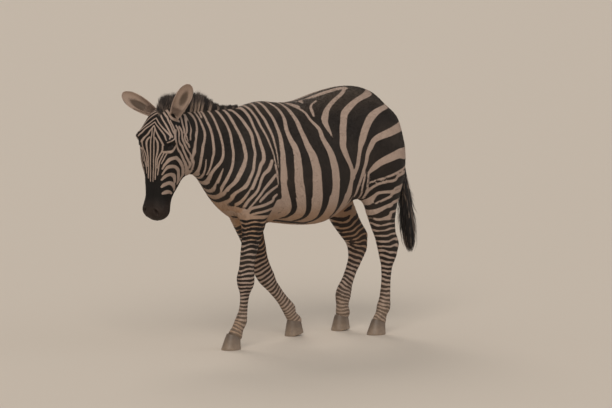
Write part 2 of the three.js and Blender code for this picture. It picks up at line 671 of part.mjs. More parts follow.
export function build() {
  const group = new THREE.Group();
  group.name = 'plains_zebra';
  const add = (name, geometry, slot) => {
    const mesh = new THREE.Mesh(geometry, new THREE.MeshStandardMaterial({ name: slot, ...MATERIALS[slot] }));
    mesh.name = name;
    geometry.translate(-CENTRE_X, -CENTRE_Y, 0);
    group.add(mesh);
  };

  // flesh, joined
  const lofts = [
    trunkLoft(), headLoft(),
    limbLoft(LEG_FORE_LEFT, LEG_AROUND, LEG_SPANS), limbLoft(LEG_FORE_RIGHT, LEG_AROUND, LEG_SPANS),
    limbLoft(LEG_HIND_LEFT, LEG_AROUND, LEG_SPANS), limbLoft(LEG_HIND_RIGHT, LEG_AROUND, LEG_SPANS),
    limbLoft(DOCK, 12, 1),
  ];
  const joined = fromSolid(wasm.Manifold.union(lofts.map(toSolid)));
  const seams = seamPoints(joined, lofts);
  closeShortEdges(joined, SHORTEST_EDGE);
  soften(joined, seams, SOFTEN_REACH, 8);
  swell(joined, bodyBumps());
  let flesh = toSolid(joined);
  const whole = flesh;

  // hooves
  const feet = [
    ['fore_left', -531, -121, 4, 0], ['fore_right', 30, 100, 0, 14],
    ['hind_left', 406, -120, 4, 0], ['hind_right', 350, 120, -2, 8],
  ];
  for (const [name, x, y, heading, lift] of feet) {
    add(`hoof_${name}`, hoof(x, y, heading, lift), 'horn');
    flesh = flesh.subtract(toSolid(hoofBlock(x, y, heading, lift)));
  }

  // eyes in their sockets
  for (const [name, side] of [['eye_left', 1], ['eye_right', -1]]) {
    const at = onHead(EYE_ALONG, EYE_FORWARD, side * EYE_ASIDE);
    flesh = flesh.subtract(ball(at, EYE_RADIUS + CUT_GAP));
    add(name, fromSolid(ball(at, EYE_RADIUS)), 'eye');
  }

  // nostrils
  for (const side of [-1, 1]) {
    const g = new THREE.SphereGeometry(1, 8, 6);
    g.scale(10, 11, 17);
    const at = onHead(508, 46, side * 40);
    g.translate(at.x, at.y, at.z);
    flesh = flesh.subtract(toSolid(g));
  }

  // thin cuts that part the flesh
  const headTop = onHead(-60, -80, 0);
  const throat = onHead(330, -200, 0);
  const headCut = throat.clone().sub(headTop).cross(HEAD_FRAME.left);
  const cuts = [
    slab(onHead(430, 0, 0), HEAD_FRAME.down, 260, 260),
    slab(onHead(170, -150, 0), headCut, 760, 760),
    slab(v(-480, 0, 1031), v(-0.887, 0, 0.461), 900, 900),
    slab(v(-165, 0, 990), v(1, 0, 0), 830, 830),
    slab(v(185, 0, 990), v(1, 0, 0), 830, 830),
    slab(v(618, -2, 1077), v(0.54, 0, -0.84), 74, 74),
    slab(v(-418, -151, 628), v(0, 0, 1), 150, 150),
    slab(v(-250, 138, 590), v(0, 0, 1), 180, 170),
    slab(v(412, -148, 640), v(0, 0, 1), 210, 150),
    slab(v(374, 143, 618), v(0, 0, 1), 210, 150),
    slab(v(-452, -130, 368), v(0.05, 0, 1), 140, 140),
    slab(v(-168, 111, 342), v(-0.5, 0, 0.86), 150, 150),
    slab(v(462, -137, 445), v(-0.05, 0, 1), 170, 150),
    slab(v(461, 131, 458), v(0.1, 0, 1), 190, 150),
    slab(v(-466, -124, 188), v(0.1, 0, 1), 120, 120),
    slab(v(-48, 101, 190), v(-0.6, 0, 0.8), 120, 120),
    slab(v(454, -123, 192), v(0, 0, 1), 120, 120),
    slab(v(371, 122, 228), v(0.4, 0, 0.92), 130, 120),
  ];
  const pieces = flesh.subtract(wasm.Manifold.union(cuts)).decompose();
  const seeds = [
    ['muzzle', onHead(490, 0, 0), 'muzzle'], ['head', onHead(210, -30, 0), 'coat'],
    ['neck', v(-640, 0, 1060), 'coat'], ['chest', v(-330, 0, 930), 'coat'],
    ['barrel', v(10, 0, 940), 'coat'], ['haunches', v(390, 0, 960), 'coat'],
    ['dock', v(640, -8, 985), 'coat'],
    ['forearm_left', v(-430, -142, 510), 'coat'], ['forearm_right', v(-222, 125, 490), 'coat'],
    ['gaskin_left', v(435, -143, 550), 'coat'], ['gaskin_right', v(418, 138, 545), 'coat'],
    ['fore_cannon_left', v(-458, -128, 280), 'coat'], ['fore_cannon_right', v(-108, 105, 262), 'coat'],
    ['hind_cannon_left', v(458, -129, 320), 'coat'], ['hind_cannon_right', v(415, 125, 340), 'coat'],
    ['fore_pastern_left', v(-485, -122, 125), 'coat'], ['fore_pastern_right', v(-5, 100, 130), 'coat'],
    ['hind_pastern_left', v(440, -121, 130), 'coat'], ['hind_pastern_right', v(354, 120, 150), 'coat'],
  ];
  const taken = new Map();
  for (const piece of pieces) {
    const box = piece.boundingBox();
    const middle = v((box.min[0] + box.max[0]) / 2, (box.min[1] + box.max[1]) / 2, (box.min[2] + box.max[2]) / 2);
    const [name, , slot] = seeds.reduce((a, b) => (middle.distanceTo(a[1]) <= middle.distanceTo(b[1]) ? a : b));
    const old = taken.get(name);
    if (!old || piece.volume() > old.piece.volume()) taken.set(name, { piece, slot });
  }
  for (const [name, { piece, slot }] of taken) add(name, fromSolid(piece), slot);

  // ears stand on the head
  const ears = [
    ['ear_left', onHead(6, -4, 70), onHead(0, 0, 0).sub(onHead(160, 4, -72)), v(-0.66, -0.75, 0.05)],
    ['ear_right', onHead(10, 2, -72), onHead(0, 0, 0).sub(onHead(86, -86, 131)), v(-0.72, -0.42, 0.58)],
  ];
  for (const [name, base, axis, opening] of ears) {
    const away = axis.clone().setLength(CUT_GAP);
    const skin = toSolid(ear(base, axis, opening, EAR_LENGTH));
    add(name, fromSolid(skin.subtract(whole.translate([away.x, away.y, away.z]))), 'coat');
  }

  // mane and forelock stand on the crest
  const lifted = whole.translate([0, 0, CUT_GAP]);
  add('mane', fromSolid(toSolid(maneLoft(MANE)).subtract(lifted)), 'hair');
  add('forelock', fromSolid(toSolid(maneLoft(FORELOCK)).subtract(lifted)), 'hair');
  add('tail_hair', limbLoft(TAIL_HAIR, 12, 2), 'hair');
  return group;
}

export default build();
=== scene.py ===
# %% [markdown]
# # A plains zebra, life size
# The animal walks with its head low and turned a little to its left. The fixed frame holds its
# flesh, hooves, eyes, ears and hair as plain solids. This script dresses that frame: one striped
# skin, a short flat coat, an upright mane, a tail of long hair, wet eyes and horn hooves.
# Lengths in the tables below are millimetres; everything that goes to Blender is in metres.

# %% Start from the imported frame
import math

import bmesh
import bpy
import numpy as np
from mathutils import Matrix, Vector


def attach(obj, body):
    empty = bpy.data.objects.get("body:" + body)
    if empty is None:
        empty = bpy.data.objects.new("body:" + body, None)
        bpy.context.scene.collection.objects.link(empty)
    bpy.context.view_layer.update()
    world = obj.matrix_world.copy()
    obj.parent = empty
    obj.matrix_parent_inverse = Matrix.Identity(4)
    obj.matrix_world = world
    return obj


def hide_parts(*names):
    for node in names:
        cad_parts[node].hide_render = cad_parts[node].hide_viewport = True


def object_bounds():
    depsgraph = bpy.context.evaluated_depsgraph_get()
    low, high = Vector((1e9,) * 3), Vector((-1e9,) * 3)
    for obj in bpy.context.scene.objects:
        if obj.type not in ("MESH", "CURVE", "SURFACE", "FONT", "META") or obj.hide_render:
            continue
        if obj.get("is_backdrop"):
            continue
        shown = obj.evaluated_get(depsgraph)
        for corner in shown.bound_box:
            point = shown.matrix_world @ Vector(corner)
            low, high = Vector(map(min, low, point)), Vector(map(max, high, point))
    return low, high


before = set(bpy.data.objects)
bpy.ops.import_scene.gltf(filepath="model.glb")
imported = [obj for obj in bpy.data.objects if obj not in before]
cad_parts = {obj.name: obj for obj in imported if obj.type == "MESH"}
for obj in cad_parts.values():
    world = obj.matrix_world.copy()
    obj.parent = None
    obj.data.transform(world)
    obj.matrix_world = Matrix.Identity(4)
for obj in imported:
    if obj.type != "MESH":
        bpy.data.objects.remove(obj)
CAD_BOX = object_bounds()
MM = 0.001
FULL_TURN = 2 * math.pi
print("frame box", [round(v, 3) for v in CAD_BOX[1] - CAD_BOX[0]])

# %% [markdown]
# ## The head's own directions
# A head is easiest to describe along itself: down the face, forward out of it, and aside to the
# animal's left. It could be made upright at the origin and turned into place at the end, but skin
# and stripes run on into the neck, so the turned directions are worked out once and used all over.
# The face is turned 21 degrees to the left and hangs nearly straight down.

# %% Head directions
POLL = np.array([-726.9, -40.0, 1236.0])
FACE_YAW, FACE_ROLL, FACE_NOD = np.radians([21.0, 4.5, 1.5])
_ahead = np.array([-math.cos(FACE_YAW), -math.sin(FACE_YAW), 0.0])
_left = np.array([math.sin(FACE_YAW), -math.cos(FACE_YAW), 0.0])
_down = np.array([0.0, 0.0, -1.0])
_nodded = _down * math.cos(FACE_NOD) + _ahead * math.sin(FACE_NOD)
HEAD_FORWARD = _ahead * math.cos(FACE_NOD) - _down * math.sin(FACE_NOD)
HEAD_DOWN = _nodded * math.cos(FACE_ROLL) - _left * math.sin(FACE_ROLL)
HEAD_LEFT = _left * math.cos(FACE_ROLL) + _nodded * math.sin(FACE_ROLL)
CHART_RADIUS = 90.0
CHART_AXIS = 30.0


def on_head(down, forward, aside):
    """The place reached from the poll by going down the face, forward and to the left (mm in, metres out)."""
    return (POLL + HEAD_DOWN * down + HEAD_FORWARD * forward + HEAD_LEFT * aside) * MM


def head_places(points):
    """Down, forward and aside, in mm, of points given in metres."""
    away = points / MM - POLL
    return away @ HEAD_DOWN, away @ HEAD_FORWARD, away @ HEAD_LEFT


def head_chart(points):
    """The head unrolled: distance round it from the middle of the face, and distance down it."""
    down, forward, aside = head_places(points)
    return np.stack([CHART_RADIUS * np.arctan2(np.abs(aside), forward + CHART_AXIS), down], axis=1)


# %% [markdown]
# ## Small tools
# A coat has half a million points. A loop that places them one at a time would take minutes, so
# every shape is worked out as whole arrays and handed to Blender in one go.

# %% Arrays to meshes and back
def in_scene(name, data):
    """A new object of that mesh, lamp or camera, at the origin."""
    obj = bpy.data.objects.new(name, data)
    bpy.context.scene.collection.objects.link(obj)
    return obj


def mesh_object(name, points, faces):
    """A smooth-shaded mesh object at the origin. faces is a list of arrays, one row per face."""
    faces = [np.asarray(f, dtype=np.int32) for f in faces if len(f)]
    mesh = bpy.data.meshes.new(name)
    loops = np.concatenate([f.ravel() for f in faces])
    sizes = np.concatenate([np.full(len(f), f.shape[1], dtype=np.int32) for f in faces])
    mesh.vertices.add(len(points))
    mesh.vertices.foreach_set("co", np.asarray(points, dtype=np.float32).ravel())
    mesh.loops.add(len(loops))
    mesh.loops.foreach_set("vertex_index", loops)
    mesh.polygons.add(len(sizes))
    mesh.polygons.foreach_set("loop_start", np.cumsum(sizes) - sizes)
    mesh.polygons.foreach_set("loop_total", sizes)
    mesh.polygons.foreach_set("use_smooth", np.ones(len(sizes), dtype=bool))
    mesh.update(calc_edges=True)
    return in_scene(name, mesh)


def read(collection, field, width, kind=np.float32):
    """One field of every item of a mesh collection, as an array with that many columns."""
    values = np.empty(len(collection) * width, dtype=kind)
    collection.foreach_get(field, values)
    return values.reshape(-1, width) if width > 1 else values


def put_attribute(obj, name, values):
    """Stores one number per point."""
    layer = obj.data.attributes.new(name, "FLOAT", "POINT")
    layer.data.foreach_set("value", np.asarray(values, dtype=np.float32))


def normals_of(mesh):
    """The direction out of the surface at each point."""
    return read(mesh.vertices, "normal", 3).astype(float)


def place(mesh, points):
    """Moves the mesh's points."""
    mesh.vertices.foreach_set("co", points.astype(np.float32).ravel())
    mesh.update()
    return points


def triangles_of(mesh):
    """The mesh's faces cut into triangles, as rows of three point numbers."""
    mesh.calc_loop_triangles()
    return read(mesh.loop_triangles, "vertices", 3, np.int32)


def grid_faces(index):
    """Four-sided faces between neighbours in a grid of point numbers."""
    return np.stack([index[:-1, :-1], index[:-1, 1:], index[1:, 1:], index[1:, :-1]], axis=-1).reshape(-1, 4)


def capped(name, rings, ends):
    """A closed mesh from an array of rings of points, with a fan onto one point at either end."""
    steps, around = rings.shape[:2]
    index = np.arange(steps * around).reshape(steps, around)
    after = np.roll(index, -1, axis=1)
    quads = np.stack([index[:-1], index[1:], after[1:], after[:-1]], axis=-1).reshape(-1, 4)
    first = np.stack([np.full(around, index.size), index[0], after[0]], axis=1)
    last = np.stack([np.full(around, index.size + 1), after[-1], index[-1]], axis=1)
    return mesh_object(name, np.concatenate([rings.reshape(-1, 3), ends]), [quads, first, last])


def through(rows, steps):
    """A smooth path through rows of numbers: Catmull-Rom between each two, steps points apiece."""
    rows = np.asarray(rows, dtype=float)
    padded = np.concatenate([[2 * rows[0] - rows[1]], rows, [2 * rows[-1] - rows[-2]]])
    a, b, c, d = (padded[i:len(rows) - 1 + i][:, None, :] for i in range(4))
    t = (np.arange(steps) / steps)[None, :, None]
    path = 0.5 * (2 * b + (c - a) * t + (2 * a - 5 * b + 4 * c - d) * t ** 2
                  + (3 * b - a - 3 * c + d) * t ** 3)
    return np.concatenate([path.reshape(-1, rows.shape[1]), rows[-1:]])


def ease(value, low, high):
    """0 below low, 1 above high, smooth between."""
    t = np.clip((value - low) / (high - low), 0.0, 1.0)
    return t * t * (3 - 2 * t)


def hump(value, middle, width):
    """1 in the middle, falling away smoothly on either side."""
    return np.exp(-((value - middle) / width) ** 2)


def turned(a, b, degrees):
    """Two coordinates, seen from axes turned by so many degrees."""
    cosine, sine = math.cos(math.radians(degrees)), math.sin(math.radians(degrees))
    return a * cosine + b * sine, b * cosine - a * sine


def unit(vectors):
    """The same directions, one long."""
    return vectors / np.maximum(np.linalg.norm(vectors, axis=-1, keepdims=True), 1e-12)


def ripple(points, size, seed):
    """Smooth noise between -1 and 1: a sum of slanted sine waves about size metres long."""
    rng = np.random.default_rng(seed)
    total = np.zeros(len(points))
    for _ in range(6):
        direction = unit(rng.normal(size=3)) / size * rng.uniform(0.6, 1.5)
        total += np.sin(FULL_TURN * (points @ direction + rng.random()))
    return total / 3.2


# %% [markdown]
# ## The skin
# On the animal one hide covers everything from the muzzle to the coronets. The frame holds the
# flesh as parted solids with flat facets. They could be dressed one by one, but each cut would
# show, so they are grown by a hair's breadth until they overlap, melted into one surface by a
# voxel remesh, and relaxed until the facets are gone. The face needs far smaller facets than the
# flank, so it is divided again, once for the head and once more for the face.

# %% Melt the flesh into one surface
FLESH = ["head", "muzzle", "neck", "chest", "barrel", "haunches", "dock"]
FLESH += [f"{part}_{side}" for part in ("forearm", "gaskin", "fore_cannon", "hind_cannon",
                                        "fore_pastern", "hind_pastern") for side in ("left", "right")]
OVERLAP = 0.5 * MM
VOXEL = 13 * MM
COAT_DEPTH = 3.0 * MM
LARGE_ROUNDS, GENTLE = 60, 0.4            # rounds that take facets away, and a light strength after each cut
FINE_FRONT, FINE_LEGS = -0.14, 0.60       # what lies ahead of this x, or below this height, is cut finer
CREST_HEIGHT, CREST_BACK = 1.13, 0.22     # and so is the crest
FACE_ROUND, FACE_TOP, EYE_REACH = 88, -60, 38     # the face, round and down it, and round the eye, mm


def merged(node):
    """Points, normals and triangles of a frame node with its doubled points merged."""
    bm = bmesh.new()
    bm.from_mesh(node.data)
    bmesh.ops.remove_doubles(bm, verts=bm.verts, dist=0.01 * MM)
    copy = bpy.data.meshes.new("copy")
    bm.to_mesh(copy)
    bm.free()
    return read(copy.vertices, "co", 3).astype(float), normals_of(copy), triangles_of(copy)


def spread(values, edges, strength, rounds):
    """Lets values flow to neighbouring points. strength, 0 to 1, says how fast at each point."""
    ends = np.concatenate([edges, edges[:, ::-1]])
    order = np.argsort(ends[:, 0], kind="stable")
    source, first = ends[order, 1], np.searchsorted(ends[order, 0], np.arange(len(values)))
    count = np.diff(np.append(first, len(source)))[:, None]
    for _ in range(rounds):
        middle = np.add.reduceat(values[source], first, axis=0) / count
        values = values + strength[:, None] * (middle - values)
    return values


def relax(points, edges, strength, rounds):
    """Takes facets away. What a plain flow takes off the bulk is itself smoothed and given back."""
    soft = spread(points, edges, strength, rounds)
    return soft + spread(points - soft, edges, strength, rounds)


def melt():
    """The remeshed surface of the flesh, with the eye sockets filled by the eyes."""
    points, faces = np.empty((0, 3)), []
    for name in FLESH + ["eye_left", "eye_right"]:
        own, normals, triangles = merged(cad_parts[name])
        faces.append(triangles + len(points))
        points = np.concatenate([points, own + normals * OVERLAP])
    rough = mesh_object("rough", points, faces)
    remesh = rough.modifiers.new("melt", "REMESH")
    remesh.mode = "VOXEL"
    remesh.voxel_size = VOXEL
    mesh = bpy.data.meshes.new_from_object(rough.evaluated_get(bpy.context.evaluated_depsgraph_get()))
    bpy.data.objects.remove(rough)
    return mesh


def refine(mesh, chosen):
    """Halves every edge whose two ends are chosen."""
    bm = bmesh.new()
    bm.from_mesh(mesh)
    edges = [edge for edge in bm.edges if chosen[edge.verts[0].index] and chosen[edge.verts[1].index]]
    bmesh.ops.subdivide_edges(bm, edges=edges, cuts=1, use_grid_fill=True)
    bmesh.ops.triangulate(bm, faces=[face for face in bm.faces if len(face.verts) > 4])
    bm.to_mesh(mesh)
    bm.free()


def settle(mesh, strength, rounds):
    """Relaxes a mesh in place. strength is worked out from the points."""
    points = read(mesh.vertices, "co", 3).astype(float)
    return place(mesh, relax(points, read(mesh.edges, "vertices", 2, np.int32), strength(points), rounds))


def head_share(points):
    """1 on the head, 0 behind the cut that parts it from the neck."""
    return (((points - HEAD_PLANE_AT) @ HEAD_PLANE_NORMAL > 0) & (points[:, 0] < -0.56)).astype(float)


def dock_share(points):
    """1 near the middle line of the tail's root, 0 elsewhere."""
    x, y, z = points.T / MM
    middle_x, middle_y, radius = (np.interp(z, DOCK[:, 2], DOCK[:, k]) for k in (0, 1, 3))
    gap = np.hypot(x - middle_x, y - middle_y) / radius
    return ease(gap, 2.2, 1.5) * ease(z, 1120, 1075) * (z > 830)


def large_forms(points):
    """How far facets are smoothed: much on the trunk, little on head, legs and the tail's root."""
    trunk = ease(points[:, 2], 0.62, 0.80) * (1 - head_share(points)) * (1 - dock_share(points))
    return 0.05 + 0.55 * trunk


# middle x, y, height and radius of the tail's root
DOCK = np.array([(819, -19, 850, 16), (816, -15, 910, 19), (810, -9, 985, 23), (794, -3, 1060, 26.0)])
HEAD_PLANE_AT = on_head(170, -150, 0)
HEAD_PLANE_NORMAL = unit(np.cross(HEAD_LEFT, on_head(330, -200, 0) - on_head(-60, -80, 0)))
HEAD_PLANE_NORMAL *= np.sign((on_head(200, 0, 0) - HEAD_PLANE_AT) @ HEAD_PLANE_NORMAL)

skin_mesh = melt()
print("melted skin:", len(skin_mesh.vertices), "points")
spots = settle(skin_mesh, large_forms, LARGE_ROUNDS)
x, _, z = spots.T
refine(skin_mesh, (x < FINE_FRONT) | (z < FINE_LEGS) | ((z > CREST_HEIGHT) & (x < CREST_BACK)))
spots = settle(skin_mesh, lambda points: np.full(len(points), GENTLE), 3)
round_face, down_face = head_chart(spots).T
refine(skin_mesh, (head_share(spots) > 0) & (round_face < FACE_ROUND) & (down_face > FACE_TOP))
spots = settle(skin_mesh, lambda points: GENTLE * head_share(points), 3)
EYES = {"left": on_head(163, 42, 84), "right": on_head(163, 42, -84)}
to_eye = np.minimum(*(np.linalg.norm(spots - place, axis=1) for place in EYES.values()))
refine(skin_mesh, to_eye < EYE_REACH * MM)
spots = settle(skin_mesh, lambda points: GENTLE * head_share(points), 2)
print("refined skin:", len(skin_mesh.vertices), "points,", len(skin_mesh.polygons), "faces")

# %% [markdown]
# ## Where the stripes lie
# A zebra's hide is dark with pale bands, and each band has its own course and width. Waves or a
# noise texture would give even stripes that fork anywhere, so the bands are drawn one by one, as
# (place, place, half width) along their middle. On the body the two places are along X and Z, as
# seen from the side; on the head they are distance round the face and distance down it.

# %% Pale bands of the neck, the trunk and the rump, and the bows over the shoulder
PALE_BANDS = [
    ((-605, 1215, 6), (-600, 1150, 7), (-612, 1060, 8), (-618, 960, 8)),
    ((-575, 1240, 9), (-550, 1185, 6), (-550, 1140, 7), (-565, 1090, 8), (-575, 940, 8)),
    ((-530, 1240, 7), (-530, 1215, 5), (-505, 1135, 7), (-510, 1085, 7), (-525, 1035, 8), (-530, 930, 9),
     (-525, 895, 18), (-540, 895, 6)),
    ((-505, 1235, 6), (-505, 1200, 6)),
    ((-485, 1235, 7), (-480, 1185, 7), (-465, 1135, 7), (-460, 1035, 7), (-480, 905, 3)),
    ((-500, 985, 3), (-495, 900, 5), (-490, 865, 6)),
    ((-440, 1230, 7), (-410, 1080, 6), (-410, 1030, 6), (-420, 980, 7), (-460, 920, 8), (-465, 875, 8),
     (-460, 845, 7), (-485, 832, 6)),
    ((-390, 1225, 8), (-360, 1130, 7), (-365, 980, 6), (-400, 880, 6), (-410, 820, 6), (-405, 778, 10),
     (-430, 775, 6)),
    ((-415, 935, 2), (-428, 880, 6), (-430, 835, 6), (-425, 810, 8), (-445, 805, 5)),
    ((-355, 1235, 4), (-340, 1225, 8), (-300, 1080, 8), (-300, 1030, 8), (-310, 980, 7), (-345, 910, 9),
     (-385, 840, 7), (-395, 795, 9), (-390, 770, 7)),
    ((-310, 1230, 7), (-290, 1215, 7), (-250, 1125, 8), (-255, 1030, 6), (-270, 980, 6), (-315, 880, 6),
     (-335, 845, 8), (-365, 800, 10), (-370, 760, 10), (-358, 725, 8), (-330, 695, 5)),
    ((-265, 1240, 7), (-235, 1225, 9), (-220, 1125, 6), (-220, 990, 9), (-255, 940, 8), (-320, 815, 7),
     (-352, 740, 10)),
    ((-210, 1250, 7), (-190, 1175, 6), (-150, 880, 2)),
    ((-160, 1260, 4), (-165, 1225, 6), (-150, 1125, 6), (-145, 935, 2)),
    ((-125, 1260, 7), (-110, 1125, 8), (-120, 920, 16), (-105, 820, 24), (-65, 715, 28)),
    ((-75, 1260, 7), (-50, 1210, 8), (-65, 1120, 11), (-60, 1070, 13), (-45, 1020, 17), (-35, 865, 24),
     (-5, 760, 22), (20, 705, 26)),
    ((-10, 1255, 3), (5, 1235, 9), (20, 1070, 15), (55, 965, 24), (75, 810, 29), (90, 755, 32),
     (100, 700, 42)),
    ((45, 1245, 7), (85, 1205, 7), (95, 1165, 8), (125, 1115, 11), (130, 1065, 15), (175, 960, 22),
     (200, 800, 31), (205, 685, 51)),
    ((200, 1255, 2), (155, 1235, 3), (135, 1210, 8), (125, 1185, 5)),
    ((160, 1260, 2), (125, 1245, 3)),
    ((50, 1245, 7), (85, 1230, 5)),
    ((110, 1250, 4), (340, 1305, 8), (420, 1315, 10)),
    ((415, 1310, 3), (290, 1255, 7), (230, 1220, 9), (190, 1180, 15), (175, 1145, 17), (195, 1075, 3)),
    ((565, 1285, 13), (420, 1250, 11), (330, 1200, 16), (295, 1155, 21), (260, 1055, 22), (260, 1005, 19),
     (305, 910, 13), (320, 860, 21), (310, 795, 21), (305, 740, 26), (315, 685, 40)),
    ((640, 1215, 10), (565, 1200, 11), (510, 1180, 15), (460, 1150, 21), (420, 1100, 21), (395, 1050, 21),
     (375, 1000, 14), (350, 910, 14), (325, 870, 16)),
    ((800, 1118, 20), (695, 1110, 24), (605, 1090, 21), (485, 1050, 16), (450, 1015, 16), (425, 975, 12),
     (415, 930, 11), (385, 840, 10), (370, 755, 9)),
    ((800, 985, 26), (685, 965, 31), (615, 965, 24), (515, 930, 18), (475, 905, 17), (442, 878, 9)),
    ((740, 905, 8), (635, 875, 7), (550, 850, 6), (450, 820, 5)),
    ((735, 870, 10), (620, 850, 8), (600, 830, 8), (510, 815, 7), (455, 780, 7), (448, 735, 5)),
    ((730, 800, 10), (615, 785, 7), (595, 770, 8), (515, 765, 8), (495, 755, 9), (470, 715, 16),
     (450, 700, 10)),
    ((720, 778, 9), (600, 760, 9), (580, 740, 8), (500, 710, 5)),
    ((720, 725, 11), (615, 710, 9), (595, 695, 12), (555, 685, 10), (480, 655, 16)),
    ((700, 668, 8), (600, 655, 7), (600, 635, 11), (535, 620, 11), (490, 620, 9)),
    ((415, 880, 6), (410, 800, 7), (430, 725, 5)),
    ((437, 868, 6), (442, 800, 6), (447, 745, 5)),
]

# the bows over the shoulder
PALE_BANDS += [
    ((-180, 970, 8), (-190, 950, 9), (-210, 925, 10), (-245, 900, 8), (-280, 830, 7), (-320, 775, 6),
     (-330, 740, 5)),
    ((-168, 900, 5), (-190, 875, 9), (-275, 795, 6), (-318, 728, 4)),
    ((-160, 840, 6), (-250, 785, 8), (-268, 768, 5)),
    ((-155, 795, 6), (-175, 780, 8), (-187, 760, 8), (-295, 735, 7), (-315, 712, 6)),
    ((-148, 725, 7), (-285, 705, 6), (-310, 680, 3)),
    ((-165, 950, 4), (-160, 900, 3)),
    ((-170, 900, 4), (-155, 880, 4), (-152, 850, 3)),
]

# dark tips on the belly, then on the throat and the chest
DARK_TIPS = [
    ((-90, 880, 6), (-90, 850, 11), (-65, 795, 13), (-35, 735, 13), (-25, 700, 14), (-30, 680, 12),
     (-42, 665, 8), (-65, 658, 3)),
    ((5, 860, 16), (30, 770, 15), (55, 695, 14), (50, 655, 11), (22, 640, 5)),
    ((130, 835, 26), (140, 740, 21), (145, 665, 14), (130, 635, 8), (95, 625, 4)),
    ((245, 840, 26), (255, 750, 22), (250, 690, 12), (235, 645, 4)),
    ((345, 835, 15), (342, 770, 10), (335, 715, 4)),
    ((-70, 645, 5), (85, 622, 5), (130, 618, 3)),
    ((265, 670, 3), (250, 632, 6), (240, 612, 3)),
    ((-95, 692, 4), (-85, 718, 3)),
    ((-448, 900, 7), (-447, 850, 7), (-452, 822, 6), (-480, 820, 5)),
    ((-425, 855, 5), (-413, 805, 7), (-420, 790, 6), (-450, 793, 4)),
    ((-455, 775, 4), (-425, 755, 8), (-395, 745, 10), (-383, 765, 8), (-385, 810, 6)),
    ((-352, 738, 2), (-360, 760, 5), (-355, 800, 7), (-335, 825, 7)),
    ((-345, 740, 3), (-310, 825, 5)),
    ((-322, 730, 3), (-295, 790, 6)),
    ((-430, 712, 3), (-395, 705, 3)),
]

# %% Lines of the face, given for one side
FACE_LINES = [
    ((3, 72, 1.5), (6, 100, 2.5), (8, 150, 3), (9, 210, 3), (8, 352, 2.5)),
    ((-24, 7, 6.5), (-13, 2, 6.5), (5, 4, 3.5), (23, 14, 4), (48, 45, 3.5), (78, 104, 3), (77, 113, 2)),
    ((-39, -16, 6.5), (0, -13, 3.5), (34, -1, 4.5), (51, 13, 4.5), (62, 27, 4), (89, 95, 3)),
    ((39, -18, 6), (61, -6, 6.5), (86, 24, 6.5), (145, 38, 6.5)),
    ((74, 33, 3), (90, 68, 4), (94, 86, 4.5), (90, 110, 3), (85, 122, 2.5), (63, 142, 2.5)),
    ((-20, 28, 2.5), (3, 31, 2.5), (67, 99, 3.5), (72, 110, 2.5), (70, 122, 2)),
    ((-2, 46, 2.5), (46, 97, 3.5), (60, 131, 2)),
    ((0, 68, 3), (46, 147, 4), (49, 162, 3), (47, 187, 3), (31, 233, 3), (28, 279, 2.5)),
    ((14, 125, 3), (28, 154, 4.5), (27, 192, 4), (21, 244, 3), (21, 337, 3.5)),
    ((54, 196, 2.5), (37, 264, 3), (33, 315, 2.5)),
    ((64, 202, 2.5), (49, 255, 2)),
    ((108, 60, 5), (118, 71, 6.5), (125, 84, 6.5), (126, 99, 6), (120, 117, 6), (121, 134, 6.5),
     (134, 152, 6.5), (153, 171, 6.5), (197, 244, 3.5), (212, 283, 2.5)),
    ((102, 82, 6.5), (92, 122, 4.5), (99, 144, 6.5), (112, 167, 5.5), (127, 186, 6.5), (142, 198, 6.5),
     (177, 243, 5.5), (224, 314, 6)),
    ((135, 65, 6), (145, 78, 6.5), (149, 95, 6.5), (148, 116, 6.5), (153, 135, 6.5), (190, 195, 3),
     (201, 232, 1.5)),
    ((232, -1, 6.5), (197, 44, 5.5), (183, 91, 4.5), (167, 117, 5.5), (175, 143, 4.5), (185, 156, 3.5),
     (191, 172, 2.5)),
    ((219, -3, 5.5), (191, 11, 6.5), (182, 23, 6.5), (168, 52, 6.5), (169, 83, 6.5), (165, 98, 5)),
    ((235, 1, 3), (218, 32, 2.5), (199, 99, 2.5), (194, 136, 2)),
    ((178, 113, 3.5), (185, 139, 2.5)),
    ((214, 90, 3), (209, 135, 3), (204, 201, 3.5), (206, 238, 3), (230, 310, 4)),
    ((51, 192, 5), (71, 192, 6.5), (83, 188, 6.5), (93, 176, 4.5), (97, 162, 6.5)),
    ((52, 281, 3.5), (65, 254, 5.5), (81, 229, 8), (112, 222, 9.5), (151, 245, 9), (182, 279, 6.5),
     (207, 318, 7), (211, 345, 9.5)),
    ((54, 310, 3.5), (67, 282, 5.5), (85, 267, 9.5), (114, 268, 8.5), (153, 288, 8.5), (180, 321, 9),
     (204, 360, 9.5)),
    ((55, 338, 5), (73, 317, 9), (104, 309, 9.5), (143, 322, 11), (169, 352, 8.5)),
    ((56, 375, 6), (74, 362, 9.5), (113, 355, 10), (168, 371, 11.5), (197, 396, 7)),
    ((61, 409, 5.5), (90, 402, 9.5), (138, 404, 7.5), (176, 413, 5.5)),
]
print(len(PALE_BANDS), "bands on the body,", len(FACE_LINES), "lines on the face")

# %% [markdown]
# The legs are ringed. A ring lies square to the leg, so each leg needs its middle line, seen from
# the side, and the spacing of the rings, wide on the thigh and fine at the fetlock.

